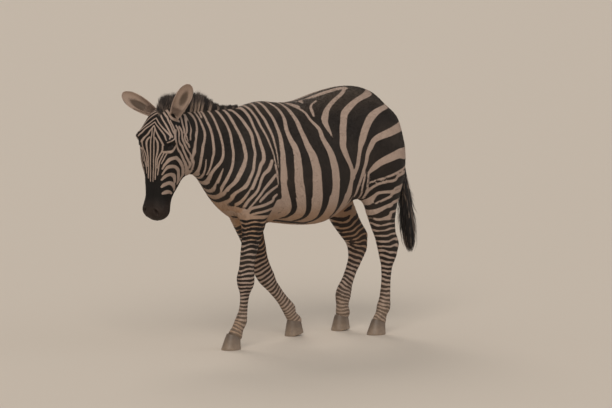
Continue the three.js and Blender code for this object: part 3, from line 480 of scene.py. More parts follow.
# %% Middle lines of the legs
LEG_LINES = {
    "fore_left": [(-249, 700), (-264, 550), (-281, 410), (-288, 330), (-295, 235), (-310, 142), (-347, 70)],
    "fore_right": [(-116, 680), (-70, 545), (-34, 415), (13, 318), (86, 228), (152, 146), (192, 80)],
    "hind_left": [(561, 770), (568, 680), (586, 600), (607, 530), (628, 445), (624, 295), (614, 145),
                  (584, 72)],
    "hind_right": [(486, 775), (506, 690), (544, 610), (586, 545), (626, 460), (582, 315), (521, 184),
                   (524, 60)],
}
RING_TOP = {"fore": 680, "hind": 625}     # the rings begin below this height
RING_SPACING = {"fore": (27, 17), "hind": (36, 19)}
LEG_REACH = {"fore": 78, "hind": 120}    # how far from its line a leg still reaches, at its top
RING_SAG = {"fore": 7, "hind": -9}        # how far a ring's rear end hangs lower than its middle
LEG_PATH = 700.0                          # length of a leg's line over which the rings draw closer
MID_BODY = 300                            # parts the fore legs from the hind legs along X


# %% Reach into a set of bands
def reach_into(chart, bands):
    """For each point of a chart, the largest of half width minus distance over all bands, in mm:
    above 0 inside a band, below 0 outside."""
    best = np.full(len(chart), -60.0)
    for rows in bands:
        path = through(rows, 6)
        start, along = path[:-1], np.diff(path, axis=0)
        margin = 30 + path[:, 2].max()
        near = np.flatnonzero(((chart > path[:, :2].min(0) - margin)
                               & (chart < path[:, :2].max(0) + margin)).all(axis=1))
        away = chart[near][:, None, :] - start[None, :, :2]
        t = (away * along[None, :, :2]).sum(2) / np.maximum((along[:, :2] ** 2).sum(1), 1e-6)
        t = np.clip(t, 0, 1)
        gap = np.linalg.norm(away - t[..., None] * along[None, :, :2], axis=2)
        inside = (start[:, 2] + t * along[:, 2] - gap).max(axis=1)
        best[near] = np.maximum(best[near], inside)
    return best


def along_line(chart, line):
    """Distance along a line of points to the nearest place on it, and distance aside from it
    toward the tail, for each point of a chart."""
    path = through(line, 4)
    along = np.diff(path, axis=0)
    length = np.linalg.norm(along, axis=1)
    start = np.cumsum(length) - length
    away = chart[:, None, :] - path[None, :-1, :]
    t = np.clip((away * along).sum(2) / length ** 2, 0, 1)
    gap = away - t[..., None] * along
    nearest = np.linalg.norm(gap, axis=2).argmin(axis=1)
    own = np.arange(len(chart)), nearest
    return (start + t * length)[own], gap[..., 0][own], np.linalg.norm(gap, axis=2)[own]


def beside_leg(points, leg):
    """Distance along a leg's line, toward the tail from it, and from it, as seen from the side."""
    return along_line(points[:, ::2] / MM, np.array(LEG_LINES[leg], dtype=float))


def leg_middle(leg, z):
    """The leg's line's x at height z."""
    rows = np.array(LEG_LINES[leg][::-1], dtype=float)
    return np.interp(z, rows[:, 1], rows[:, 0])


# %% The marking of any point of the coat
# above this line the ground is dark and the pale bands lie on it; below, dark tips lie on pale
BELLY_LINE = [(-900, 760), (-480, 842), (-425, 788), (-375, 745), (-325, 730), (-300, 695), (-165, 690),
              (-150, 765), (-70, 778), (-15, 768), (130, 775), (250, 768), (345, 795), (375, 640), (900, 560)]
WOBBLE = 1.6                          # how far a band's edge wanders, mm
CAP = 14.0
LID_DARK = (32.0, 16.0)               # half length and half height of the black skin round the eye
SPINE_HALF = 13                       # half width of the dark line along the back
MUZZLE_TOP, MUZZLE_DROP, MUZZLE_RISE = 362, 62, 30    # where the dark muzzle starts, its drop and rise aside
MUZZLE_BROWN = (0.6, 420, 510)        # how brown it ends, and between which heights it turns


def body_mark(points):
    """Dark (above 0) or pale (below 0) on the neck, trunk, rump and tail, in mm from the nearest edge."""
    x, y, z = points.T / MM
    side = np.clip(y / 80, 0, 1)
    chart = np.stack([x + WOBBLE * ripple(points, 0.11, 1) + 14 * side * ripple(points, 0.5, 2),
                      z + WOBBLE * ripple(points, 0.12, 3)], axis=1)
    belly = np.interp(chart[:, 0], *np.array(BELLY_LINE).T)
    mark = np.minimum(CAP, (chart[:, 1] - belly) * 0.7)
    mark = np.minimum(mark, -reach_into(chart, PALE_BANDS))
    mark = np.maximum(mark, reach_into(chart, DARK_TIPS))
    spine = SPINE_HALF - np.abs(y) + 10 * (ease(z, 1250, 1200) - 1) * (x > -250) + 14 * ease(x, 20, 90)
    mark = np.where((x > -60) & (x < 640) & (z > 1050), np.maximum(mark, spine), mark)
    return np.clip(mark, -CAP, CAP)


def leg_mark(points, leg):
    """Rings square to the leg: a wave of the distance along its middle line."""
    z = points[:, 2] / MM
    along, aside, _ = beside_leg(points, leg)
    kind = leg.split("_")[0]
    wide, fine = RING_SPACING[kind]
    along = along + RING_SAG[kind] * (aside / 40) ** 2 * np.sign(aside + 10)
    along = along + 4.0 * ripple(points, 0.09, 5) + 7 * ripple(points, 0.35, 6)
    # the spacing shrinks evenly from wide to fine, so the count of rings is its integral
    spacing = np.clip(wide + (fine - wide) * along / LEG_PATH, 5, None)
    rings = LEG_PATH / (fine - wide) * np.log(spacing / wide)
    spacing = wide + (fine - wide) * np.clip(along / LEG_PATH, 0, 1)
    dark = 0.15 + 0.35 * ease(z, 300, 560) + 0.25 * ripple(points, 0.05, 7)
    return spacing / FULL_TURN * (np.cos(FULL_TURN * rings) + dark)


def head_mark(points):
    """Lines and bows of the face and the dark muzzle."""
    chart = head_chart(points) + np.stack([ripple(points, 0.05, 8), ripple(points, 0.05, 9)], axis=1) * 1.1
    mark = np.minimum(CAP, -reach_into(chart, FACE_LINES))
    throat = ease(chart[:, 0], 215, 250) * ease(chart[:, 1], 120, 200)
    mark = mark - 16 * throat
    start = MUZZLE_TOP + MUZZLE_DROP * ease(chart[:, 0], 42, 68) - MUZZLE_RISE * ease(chart[:, 0], 150, 230)
    muzzle = chart[:, 1] - start
    mark = np.maximum(mark, muzzle)
    for side, centre in EYES.items():
        _, long_way, up = eye_axes(side)
        away = (points - centre) / MM
        lens = 1 - (away @ long_way / LID_DARK[0]) ** 2 - np.abs(away @ up) / LID_DARK[1]
        lids = np.where(np.linalg.norm(away, axis=1) < 40, lens * LID_DARK[1], -CAP)
        mark = np.maximum(mark, lids)
    return np.clip(mark, -CAP, CAP)


def leg_share(points, leg):
    """1 where a point belongs to that leg's rings, 0 elsewhere."""
    x, y, z = points.T / MM
    kind, side = leg.split("_")
    own = (y < 0) if side == "left" else (y > 0)
    front = (x < MID_BODY) if kind == "fore" else (x > MID_BODY)
    top = RING_TOP[kind]
    near = ease(np.abs(x - leg_middle(leg, z)), LEG_REACH[kind], LEG_REACH[kind] - 15)
    return ease(z, top + 12, top - 12) * own * front * np.maximum(near, ease(z, top - 60, top - 80))


def marking(points, inward):
    """The mark, and how far it is faded to brown or warmed to tan, for points in metres.
    inward is 1 where the surface faces the body's middle."""
    x, y, z = points.T / MM
    mark = body_mark(points)
    for leg in LEG_LINES:
        share = leg_share(points, leg)
        mark = mark * (1 - share) + leg_mark(points, leg) * share if share.any() else mark
    head = ease((points - HEAD_PLANE_AT) @ HEAD_PLANE_NORMAL, -6 * MM, 6 * MM) * (x < -560)
    mark = mark * (1 - head) + head_mark(points) * head
    low = ease(z, 520, 120)
    inner = inward * ease(z, 860, 700) * (1 - head) * (np.abs(y) > 25)
    mark = mark - 9 * inner * ease(z, 600, 640)
    warm = np.clip(0.9 * inner * ease(z, 300, 520) + 0.75 * ease(z, 760, 640) * (np.abs(x) < 420) * (z > 560)
                   + 0.6 * ease(z, 860, 740) * (x < -330) * (x > -600), 0, 1)
    fade = np.clip(0.55 * low + 0.35 * inner + 0.14 * ease(x, -420, -150) * (1 - low), 0, 1)
    brown, start, end = MUZZLE_BROWN
    brown = brown * ease(head_places(points)[0], start, end)
    return mark, warm * (1 - head), fade * (1 - head) + brown * head


# %% [markdown]
# ## Forms under the skin
# Muscle, bone and sinew show through a thin hide: the shoulder blade, the elbow, the stifle, the
# point of the hip, the ridge below the eye, the groove before the tendons of the cannon. Each is a
# soft swelling or hollow, added along the surface's own direction, so the outline barely moves.

# %% Swellings and hollows: centre x, z, half length, half height, lean in degrees, height
BODY_FORMS = [
    (-270, 1030, 26, 150, -16, 4), (-330, 1000, 26, 130, -16, -3),      # shoulder blade and its front edge
    (-190, 900, 55, 75, 35, 5), (-175, 765, 30, 34, 0, 5),              # triceps and elbow
    (-330, 860, 46, 60, 20, 5), (-235, 830, 26, 90, 30, -3),            # point of the shoulder
    (-130, 880, 22, 120, 8, -4),                                        # behind the shoulder
    (425, 1120, 46, 40, 0, 5), (380, 1010, 40, 90, -20, -3),            # point of the hip, flank hollow
    (380, 760, 55, 70, 0, 6), (330, 830, 22, 100, -22, -4),             # stifle and the fold of the flank
    (520, 900, 90, 130, 25, 3), (640, 1000, 30, 60, 0, 4),              # thigh and the seat bone
    (560, 720, 36, 90, 18, -3), (470, 690, 40, 70, 30, 3),              # groove between thigh and gaskin
    (-470, 1000, 20, 150, 20, -3), (-520, 930, 24, 130, 24, 2),         # groove of the neck
]
RIB_HEIGHT, RIB_SPACING = 0.8, 42.0
FACE_FORMS = [                         # down, forward, aside, radius, height
    (134, 62, 94, 30, 10), (108, 42, 100, 24, -4),                      # brow and the hollow above the eye
    (205, 52, 74, 20, -2), (188, 36, 96, 17, 4.0),                      # below the inner corner, lower lid
    (250, 24, 88, 24, 3.5), (290, 26, 80, 24, 3.0), (215, 18, 98, 20, 3),   # ridge along the cheek
    (275, -40, 84, 46, 3), (330, -30, 74, 26, -3), (330, 40, 60, 30, -2),   # cheek and the hollow before it
    (400, 62, 34, 24, 1.5), (440, 66, 0, 36, -1.5),                     # nasal bones
    (478, 70, 30, 16, 3), (540, 52, 34, 15, 2.5), (505, 30, 56, 14, 3),  # rim of the nostril
    (560, 10, 0, 26, 2), (552, -26, 0, 20, 3),                          # upper lip and chin
]
MOUTH = [455, 500, 552], [-22, -17, -8]    # down the face, and forward


def sculpt_body(points, normals):
    """Adds ribs, swellings and the groove of each cannon, along the surface's own direction."""
    x, _, z = points.T / MM
    height = RIB_HEIGHT * np.sin(FULL_TURN * (x + 0.25 * z) / RIB_SPACING)
    height = height * ease(x, -110, -40) * ease(x, 380, 300) * ease(z, 760, 850) * ease(z, 1130, 1040)
    for cx, cz, long, tall, lean, rise in BODY_FORMS:
        along, across = turned(x - cx, z - cz, lean)
        height = height + rise * hump(along, 0, long) * hump(across, 0, tall)
    height = height * np.abs(normals[:, 1]) * (1 - head_share(points))
    for leg in LEG_LINES:
        _, rear, gap = beside_leg(points, leg)
        near = leg_share(points, leg) * (gap < 60)
        cannon = ease(z, 110, 150) * ease(z, 350, 300)
        height = height - 2.2 * near * cannon * hump(rear, 7, 5)
    return points + normals * (height * MM)[:, None]


def sculpt_face(points, normals):
    """Adds the forms of the face and draws in the line of the mouth."""
    down, forward, aside = head_places(points)
    height = np.zeros(len(points))
    for d, f, a, radius, rise in FACE_FORMS:
        gap = np.hypot(np.hypot(down - d, forward - f), np.abs(aside) - a)
        height += rise * hump(gap, 0, radius)
    mouth = np.interp(down, *MOUTH)
    height -= 4.0 * hump(forward, mouth, 3.2) * ease(down, 446, 460)
    height += 1.8 * hump(forward, mouth + 9, 6) * ease(down, 456, 480)
    return points + normals * (height * MM * head_share(points))[:, None]


# %% [markdown]
# ## Nostrils, and lids round the eyes
# A zebra's nostril is a comma, high and inward at its thin end. The eye is a ball far bigger than
# its opening: the lids are skin stretched over the ball, so the hide is drawn onto a sphere a
# little larger than it and sunk inside an almond, where the ball then shows.

# %% Nostrils and lids
EYE_RADIUS = 21.0
LID = 2.4                             # how far the lid stands off the ball
# the lid's rim, crease and fold: how far outside the slit, half width and height in mm
LID_FOLDS = [(1.6, 1.5, 1.3), (7, 1.8, -1.1), (11, 3, 0.9)]
SUNK = 9.0                            # how deep the hide is sunk inside the slit
OPENING = (24.0, 11.0, 10.0)          # half the slit's length, rise of the upper and drop of the lower lid
NOSTRIL = (505, 48, 37)               # down, forward, aside
NOSTRIL_SIZE = (20, 9.5, 15)          # half length, half width, depth
NOSTRIL_LEAN = 28                     # degrees


def eye_axes(side):
    """Out of the eye, from its outer to its inner corner, and up the forehead."""
    hand = 1 if side == "left" else -1
    inner, outer = on_head(184, 72, 73 * hand), on_head(144, 24, 108 * hand)
    along = unit(inner - outer)
    out = 0.58 * HEAD_FORWARD + 0.82 * hand * HEAD_LEFT
    out = unit(out - along * (out @ along))
    up = np.cross(out, along)
    return out, along, up * (-1 if up @ HEAD_DOWN > 0 else 1)


def almond(a, b):
    """How far outside the slit between the lids a place is, in mm; a along the slit, b up it."""
    long, rise, drop = OPENING
    arch = np.clip(1 - (a / long) ** 2, 0, None)
    return np.maximum(b - rise * arch ** 0.7, -b - drop * arch) + 0.4 * np.clip(np.abs(a) - long, 0, None)


def draw_lids(points):
    """Draws the hide onto a sphere a little larger than the eye, and sinks it inside the slit."""
    for side, centre in EYES.items():
        out, along, up = eye_axes(side)
        away = (points - centre) / MM
        radius = np.linalg.norm(away, axis=1)
        a, b, front = away @ along, away @ up, away @ out
        outside = almond(a, b)
        lid = EYE_RADIUS + LID - SUNK * ease(outside, 0.4, -1.6)
        for at, wide, rise in LID_FOLDS:
            lid += rise * hump(outside, at, wide)
        share = ease(np.hypot(a, b), 33, 19) * (front > 0)
        wanted = radius + share * (lid - radius)
        points = points + away * ((wanted / np.maximum(radius, 1) - 1) * MM)[:, None]
    return points


def open_nostrils(points, normals):
    """Sinks a bent oval on either side, with a raised rim round it."""
    down, forward, aside = head_places(points)
    d, _, a = NOSTRIL
    long, wide, depth = NOSTRIL_SIZE
    along, across = turned(down - d, np.abs(aside) - a, NOSTRIL_LEAN)
    reach = np.hypot(along / long, (across + 5 * (along / long) ** 2) / wide)
    near = (forward > 10) & (reach < 3)
    height = -depth * ease(reach, 1.05, 0.35) + 2.0 * hump(reach, 1.35, 0.3)
    return points + normals * (height * near * MM)[:, None]


# %% Shape the skin and draw it in by the coat's depth
for sculpt in (sculpt_body, sculpt_face):
    spots = place(skin_mesh, sculpt(spots, normals_of(skin_mesh)))
depth = COAT_DEPTH * (0.35 + 0.65 * (1 - head_share(spots)) * ease(spots[:, 2], 0.10, 0.50))
spots = place(skin_mesh, spots - normals_of(skin_mesh) * depth[:, None])
spots = place(skin_mesh, open_nostrils(spots, normals_of(skin_mesh)))
spots = place(skin_mesh, draw_lids(spots))
print("skin drawn in by", round(COAT_DEPTH / MM, 1), "mm on the trunk")

# %% [markdown]
# ## One colouring for skin and coat
# Skin and hair share a material, and every colour change rides on numbers stored at the points:
# how far inside a dark band it is, how sun-bleached or tan the hair is, how dusty, which way the
# hair lies. The same function fills them for the skin and for every tuft's root.

# %% Numbers stored on skin and coat
def inward_share(points, normals):
    """1 where the surface faces the middle plane of the body, as on the inside of a leg."""
    return ease(-normals[:, 1] * np.sign(points[:, 1]), 0.05, 0.6)


def coat_numbers(points, normals):
    """All the numbers of the coat's colour at points in metres, by name."""
    x, _, z = points.T / MM
    mark, warm, fade = marking(points, inward_share(points, normals))
    dust = 0.45 * ease(z, 330, 40) + 0.05 * (0.5 + 0.5 * ripple(points, 0.25, 21))
    dust = (dust + 0.08 * ease(z, 1150, 1290)) * (1 - 0.7 * head_share(points))
    upright = np.maximum(np.maximum(ease(z, 640, 560), head_share(points)), ease(x, 600, 640))
    return {"mark": mark, "warm": warm, "fade": fade, "dust": dust, "upright": upright}


def store(obj, numbers):
    """Stores several numbers per point by name."""
    for name, values in numbers.items():
        put_attribute(obj, name, values)


skin = in_scene("skin", skin_mesh)
skin_mesh.polygons.foreach_set("use_smooth", np.ones(len(skin_mesh.polygons), dtype=bool))
store(skin, coat_numbers(spots, normals_of(skin_mesh)))

# %% [markdown]
# ## The hide's finish
# A zebra's coat is short, straight hair, about 10 mm long, black with brown in it where the sun
# has bleached it, and off-white, never pure white. Lying flat it has a soft satin sheen across
# broad muscles. Close to, single hairs show as fine streaks along the way the coat lies, so the
# bump and the edge of every band are broken by a noise stretched along the hair.

# %% Colours and node helpers
def colour(text):
    """sRGB hex to a linear RGBA colour."""
    parts = np.array([int(text[i:i + 2], 16) for i in (1, 3, 5)]) / 255
    linear = np.where(parts <= 0.04045, parts / 12.92, ((parts + 0.055) / 1.055) ** 2.4)
    return (*linear, 1.0)


def material(name, **values):
    """A new material; values go to its shader's own sockets, with _ for a space."""
    made = bpy.data.materials.new(name)
    made.use_nodes = True
    shader = made.node_tree.nodes["Principled BSDF"]
    for key, value in values.items():
        shader.inputs[key.replace("_", " ")].default_value = value
    return made, made.node_tree, shader


def node(tree, kind, links=None, values=None, **settings):
    """Adds a node: settings are its own properties, values its socket values, links its sources."""
    made = tree.nodes.new(kind)
    for key, value in settings.items():
        setattr(made, key, value)
    for key, value in (values or {}).items():
        made.inputs[key].default_value = value
    for key, source in (links or {}).items():
        tree.links.new(source, made.inputs[key])
    return made


def number(tree, name):
    """A stored number as a shader value."""
    return node(tree, "ShaderNodeAttribute", attribute_name=name).outputs["Fac"]


def maths(tree, operation, *sources, clamp=False):
    """One sum of sockets or plain numbers."""
    made = tree.nodes.new("ShaderNodeMath")
    made.operation = operation
    made.use_clamp = clamp
    for slot, source in zip(made.inputs, sources):
        if isinstance(source, (int, float)):
            slot.default_value = source
        else:
            tree.links.new(source, slot)
    return made.outputs[0]


def blend(tree, share, first, second):
    """Colour mix; share, first and second are sockets or, for the colours, sRGB hex."""
    made = node(tree, "ShaderNodeMix", data_type="RGBA")
    tree.links.new(share, made.inputs[0])
    for slot, source in ((made.inputs[6], first), (made.inputs[7], second)):
        if isinstance(source, str):
            slot.default_value = colour(source)
        else:
            tree.links.new(source, slot)
    return made.outputs[2]


def remap(tree, source, low, high, to_low=0.0, to_high=1.0, curve="LINEAR"):
    """Takes the range low to high onto to_low to to_high."""
    values = {"From Min": low, "From Max": high, "To Min": to_low, "To Max": to_high}
    made = node(tree, "ShaderNodeMapRange", {"Value": source}, values, interpolation_type=curve)
    return made.outputs["Result"]


def noise(tree, place, scale, detail, stretch=(1, 1, 1)):
    """Cloudy noise, scale in waves a metre, stretched by other factors along X, Y and Z."""
    drawn = node(tree, "ShaderNodeVectorMath", {0: place}, {1: stretch}, operation="MULTIPLY").outputs[0]
    made = node(tree, "ShaderNodeTexNoise", {"Vector": drawn}, {"Scale": scale, "Detail": detail})
    return made.outputs["Fac"]


def patchy(tree, share, soft, lift):
    """A share, or the stored number of that name, made uneven by soft noise."""
    share = number(tree, share) if isinstance(share, str) else share
    return maths(tree, "MULTIPLY", share, maths(tree, "ADD", soft, lift), clamp=True)


def wear(tree, shader, base, level=None, height=None, strength=0.5, distance=MM):
    """Links a colour, made darker or lighter by level, and a bump of the given height."""
    if level is not None:
        base = node(tree, "ShaderNodeVectorMath", {0: base, 1: level}, operation="MULTIPLY").outputs[0]
    tree.links.new(base, shader.inputs["Base Color"])
    if height is not None:
        bump = node(tree, "ShaderNodeBump", {"Height": height}, {"Strength": strength, "Distance": distance})
        tree.links.new(bump.outputs[0], shader.inputs["Normal"])


# %% The striped coat's material
PALE, TAN = "#b39e91", "#ab8768"
BLACK, BROWN = "#161312", "#3d302a"
DUST = "#a8937f"
HAIR_ACROSS, HAIR_ALONG = 0.9, 9.0    # size of a hair's streak in mm
FRAY, EDGE_SOFT = 5.0, 1.1            # how far single hairs cross a band's edge, and its blur, mm


def hair_streaks(tree, place):
    """Fine noise stretched along the lie: level on the body, upright on neck, head and legs."""
    across, along = 1 / (HAIR_ACROSS * MM), 1 / (HAIR_ALONG * MM)
    mixed = node(tree, "ShaderNodeMix", {0: number(tree, "upright"),
                                         2: noise(tree, place, 1.0, 2.0, (along, across, across)),
                                         3: noise(tree, place, 1.0, 2.0, (across, across, along))},
                 data_type="FLOAT")
    return mixed.outputs[0]


def coat_material(name, bumpy):
    """Pale or dark by the stored mark, each weathered in soft patches, with dust over both."""
    made, tree, shader = material(name, Roughness=0.62, IOR=1.5, Specular_IOR_Level=0.25)
    place = node(tree, "ShaderNodeTexCoord").outputs["Object"]
    streaks = hair_streaks(tree, place)
    soft = noise(tree, place, 22.0, 3.0)
    fray = maths(tree, "MULTIPLY", maths(tree, "SUBTRACT", streaks, 0.5), FRAY)
    edge = maths(tree, "ADD", number(tree, "mark"), fray)
    dark = remap(tree, edge, -EDGE_SOFT, EDGE_SOFT, curve="SMOOTHSTEP")
    pale = blend(tree, patchy(tree, "warm", soft, 0.4), PALE, TAN)
    black = blend(tree, patchy(tree, "fade", soft, 0.5), BLACK, BROWN)
    base = blend(tree, patchy(tree, "dust", soft, 0.45), blend(tree, dark, pale, black), DUST)
    level = remap(tree, streaks, 0.0, 1.0, 0.70, 1.26)
    wear(tree, shader, base, level, streaks if bumpy else None, distance=0.6 * MM)
    return made


coat_finish = coat_material("zebra_hide", True)
skin_mesh.materials.append(coat_finish)
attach(skin, "root")
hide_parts(*FLESH)

# %% [markdown]
# ## The hide laid out flat
# A bake needs every bit of hide to have its own place on a sheet. The trunk, the head and each leg
# is rolled off its own axis, like a label off a tin, onto its own field of the sheet. A tuft
# takes the place of its root.

# %% Fields of the sheet: left, bottom, width, height
FIELDS = {"trunk": (0.02, 0.02, 0.68, 0.58), "head": (0.02, 0.62, 0.43, 0.36)}
FIELDS.update({leg: (0.48, 0.62 + 0.095 * k, 0.50, 0.08) for k, leg in enumerate(LEG_LINES)})
PART_NAMES = list(FIELDS)
LEG_Y = {"fore_left": -118, "fore_right": 98, "hind_left": -118, "hind_right": 118}
TRUNK_AXIS = ((-750, -500, -300, 0, 400, 700), (1120, 1060, 990, 950, 980, 1000))
PATCH = 0.003


def parts_of(points):
    """Which field each point belongs to."""
    part = np.zeros(len(points), dtype=int)
    part[head_share(points) > 0] = PART_NAMES.index("head")
    for leg in LEG_LINES:
        part[leg_share(points, leg) > 0.5] = PART_NAMES.index(leg)
    return part


def laid_out(points, part):
    """Places on the sheet, for points in the given parts: along the part, then round it."""
    x, y, z = points.T / MM
    along = (x + 750) / 1500
    round_it = np.arctan2(y, z - np.interp(x, *TRUNK_AXIS)) / FULL_TURN + 0.5
    down, forward, aside = head_places(points)
    on = part == PART_NAMES.index("head")
    along = np.where(on, (down + 90) / 760, along)
    round_it = np.where(on, np.arctan2(aside, forward + CHART_AXIS) / FULL_TURN + 0.5, round_it)
    for leg in LEG_LINES:
        on = part == PART_NAMES.index(leg)
        angle = np.arctan2(y - LEG_Y[leg], x - leg_middle(leg, z))
        along = np.where(on, (700 - z) / 700, along)
        round_it = np.where(on, angle / FULL_TURN + 0.5, round_it)
    left, bottom, width, height = np.array([FIELDS[name] for name in PART_NAMES])[part].T
    return np.stack([left + np.clip(along, 0, 1) * width, bottom + round_it * height], axis=1)


def put_map(mesh, sheet):
    """Stores a place on the sheet for every corner."""
    layer = mesh.uv_layers.new(name="OFBake")
    layer.data.foreach_set("uv", sheet.astype(np.float32).ravel())


def lay_out_faces(mesh, points):
    """Gives the mesh its map, corner by corner, so that a face across a seam is not stretched."""
    corners = read(mesh.loops, "vertex_index", 1, np.int32)
    sizes = read(mesh.polygons, "loop_total", 1, np.int32)
    starts = np.cumsum(sizes) - sizes
    middle = np.add.reduceat(points[corners], starts, axis=0) / sizes[:, None]
    part = np.repeat(parts_of(middle), sizes)
    sheet = laid_out(points[corners], part)
    tall = np.array([FIELDS[name][3] for name in PART_NAMES])[part]
    highest = np.repeat(np.maximum.reduceat(sheet[:, 1], starts), sizes)
    sheet[:, 1] += tall * (highest - sheet[:, 1] > tall / 2)
    put_map(mesh, sheet)


lay_out_faces(skin_mesh, spots)
print("hide laid out in", len(FIELDS), "fields")

# %% [markdown]
# ## Strands
# The coat's tufts, the mane, the tail and the ears' hair are all one thing: a thin three-sided
# spike that follows a path and ends in a point. One function builds any number in one mesh.

# %% Many strands in one mesh
SIDES = 3


def strands(name, paths, widths, flat, numbers, roots=None):
    """paths is (count, steps, 3) in metres, widths (count, steps - 1). The last step is the point.
    numbers holds one value a strand, and roots is where each takes its place on the sheet."""
    count, steps, _ = paths.shape
    rings = steps - 1
    tangent = unit(np.gradient(paths, axis=1))
    side = unit(np.cross(tangent, np.array([0.31, 0.87, 0.38])))
    out = np.cross(side, tangent)
    turns = FULL_TURN * np.arange(SIDES) / SIDES
    ring = (side[:, :rings, None, :] * np.cos(turns)[None, None, :, None]
            + flat * out[:, :rings, None, :] * np.sin(turns)[None, None, :, None])
    ring = paths[:, :rings, None, :] + ring * widths[:, :, None, None] / 2
    points = np.concatenate([ring.reshape(count, -1, 3), paths[:, -1:, :]], axis=1)
    per = rings * SIDES + 1
    here = np.arange(rings * SIDES).reshape(rings, SIDES)
    there = np.roll(here, -1, axis=1)
    quads = np.stack([here, there, there + SIDES, here + SIDES], axis=-1)[:-1].reshape(-1, 4)
    tips = np.stack([here[-1], there[-1], np.full(SIDES, per - 1)], axis=1)
    tips = np.concatenate([tips, [np.arange(SIDES)[::-1]]])
    start = (np.arange(count) * per)[:, None, None]
    made = mesh_object(name, points.reshape(-1, 3),
                       [(group[None] + start).reshape(-1, group.shape[1]) for group in (quads, tips)])
    roots = paths[:, 0] if roots is None else roots
    corners = read(made.data.loops, "vertex_index", 1, np.int32)
    within = np.stack([(corners % per) % SIDES / SIDES, (corners % per) // SIDES / rings], axis=1)
    put_map(made.data, laid_out(roots, parts_of(roots))[corners // per] + PATCH * (within - 0.5))
    store(made, {key: np.repeat(values, per) for key, values in numbers.items()})
    return made


def ride_on(piece, finish, slot, *nodes):
    """Gives a piece its material, hangs it on the root and hides the frame nodes it replaces; slot is not
    used.
    """
    piece.data.materials.append(finish)
    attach(piece, "root")
    if nodes:
        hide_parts(*nodes)
    print(piece.name, len(piece.data.vertices), "points")


# %% [markdown]
# ## Short coat
# The coat is thin flat tufts. A bump alone would leave the outline bald, and every hair as mesh
# would be far too much. So roots are scattered over the skin, closer on the head and the legs
# where the hair is shorter, and each tuft lies back along the body, down the legs or down the
# face, with its tip a little raised.

# %% Scatter tufts
# how many, shortest and longest in mm, width in mm, and the tip's rise as a share of the length
TUFTS = {"trunk": (90000, (8, 12), 1.7, 0.15), "legs": (40000, (6, 8), 1.3, 0.17),
         "head": (44000, (4, 6), 1.0, 0.14)}
PER_PIECE = 45000
ROOT_DEPTH, COLOUR_AT = 0.5, 0.35     # how deep a tuft is rooted in mm, how far along it its colour is read
UNRULY = 0.13                         # how far tufts stray from the lie


def lie_of(points, normals, rng):
    """The way the hair lies, along the surface."""
    x, _, z = points.T
    head = head_share(points)[:, None]
    leg = ease(z, 0.70, 0.60)[:, None]
    neck = ease(x, -0.25, -0.45)[:, None]
    flow = np.array([0.93, 0.0, -0.36]) * (1 - neck) + np.array([0.72, 0.0, -0.70]) * neck
    flow = flow * (1 - leg) + np.array([0.10, 0.0, -1.0]) * leg
    hand = np.sign(head_places(points)[2])[:, None]
    flow = flow * (1 - head) + (HEAD_DOWN + 0.25 * hand * HEAD_LEFT) * head
    flow = flow + rng.normal(size=flow.shape) * UNRULY
    return unit(flow - normals * (flow * normals).sum(1, keepdims=True))


def scatter(mesh, points, count, weight, rng):
    """Random places on the mesh, with their normals; weight is the density at each triangle's middle."""
    corners = triangles_of(mesh)
    a, b, c = (points[corners[:, k]] for k in range(3))
    area = np.linalg.norm(np.cross(b - a, c - a), axis=1) * weight((a + b + c) / 3)
    chosen = np.searchsorted(np.cumsum(area) / area.sum(), rng.random(count))
    chosen = np.minimum(chosen, len(area) - 1)
    u, v = rng.random((2, count))
    over = u + v > 1
    u, v = np.where(over, 1 - u, u)[:, None], np.where(over, 1 - v, v)[:, None]
    normals = normals_of(mesh)[corners[chosen]]
    normal = unit(normals[:, 0] * (1 - u - v) + normals[:, 1] * u + normals[:, 2] * v)
    return a[chosen] * (1 - u - v) + b[chosen] * u + c[chosen] * v, normal


def bare(points):
    """1 on hairless skin: eyelid rims, nostrils and lips."""
    down, forward, aside = head_places(points)
    near_eye = np.minimum(*(np.linalg.norm(points - place, axis=1) for place in EYES.values())) < 27 * MM
    nostril = np.hypot((down - NOSTRIL[0]) / 24, (np.abs(aside) - NOSTRIL[2]) / 15) < 1
    return (near_eye | (nostril & (forward > 10)) | (down > 560)) * head_share(points)


LEG_TOP = 0.62
WEIGHTS = {
    "trunk": lambda points: (points[:, 2] >= LEG_TOP) * (1 - head_share(points)),
    "legs": lambda points: (points[:, 2] < LEG_TOP) * (1 - head_share(points)),
    "head": lambda points: head_share(points) * (1 - bare(points)),
}


def grow_coat(region, seed):
    """Tufts of one region, in pieces small enough to export."""
    rng = np.random.default_rng(seed)
    count, lengths, width, rise = TUFTS[region]
    roots, normals = scatter(skin_mesh, spots, count, WEIGHTS[region], rng)
    lie = lie_of(roots, normals, rng)
    length = rng.uniform(*lengths, count)[:, None] * MM
    foot = roots - normals * ROOT_DEPTH * MM
    tips = roots + lie * length + normals * length * rise * rng.uniform(0.5, 1.6, (count, 1))
    widths = np.full((count, 1), width * MM) * rng.uniform(0.7, 1.3, (count, 1))
    numbers = coat_numbers(roots + lie * length * COLOUR_AT, normals)
    for k, half in enumerate(np.array_split(np.arange(count), math.ceil(count / PER_PIECE))):
        own = {key: values[half] for key, values in numbers.items()}
        paths = np.stack([foot[half], tips[half]], axis=1)
        piece = strands(f"coat_{region}_{k + 1}", paths, widths[half], 0.5, own, roots[half])
        ride_on(piece, tuft_finish, "coat")


tuft_finish = coat_material("zebra_tufts", False)
for seed, region in enumerate(TUFTS):
    grow_coat(region, 100 + seed)

# %% [markdown]
# ## Ears
# Each ear is a rolled leaf: a tube at its foot that opens toward its tip. A bent cone would give
# the outline but no hollow, so two sheets are rolled together and closed along their rims. The
# back is banded dark and pale, and long hair lines the foot of the hollow and its rims.

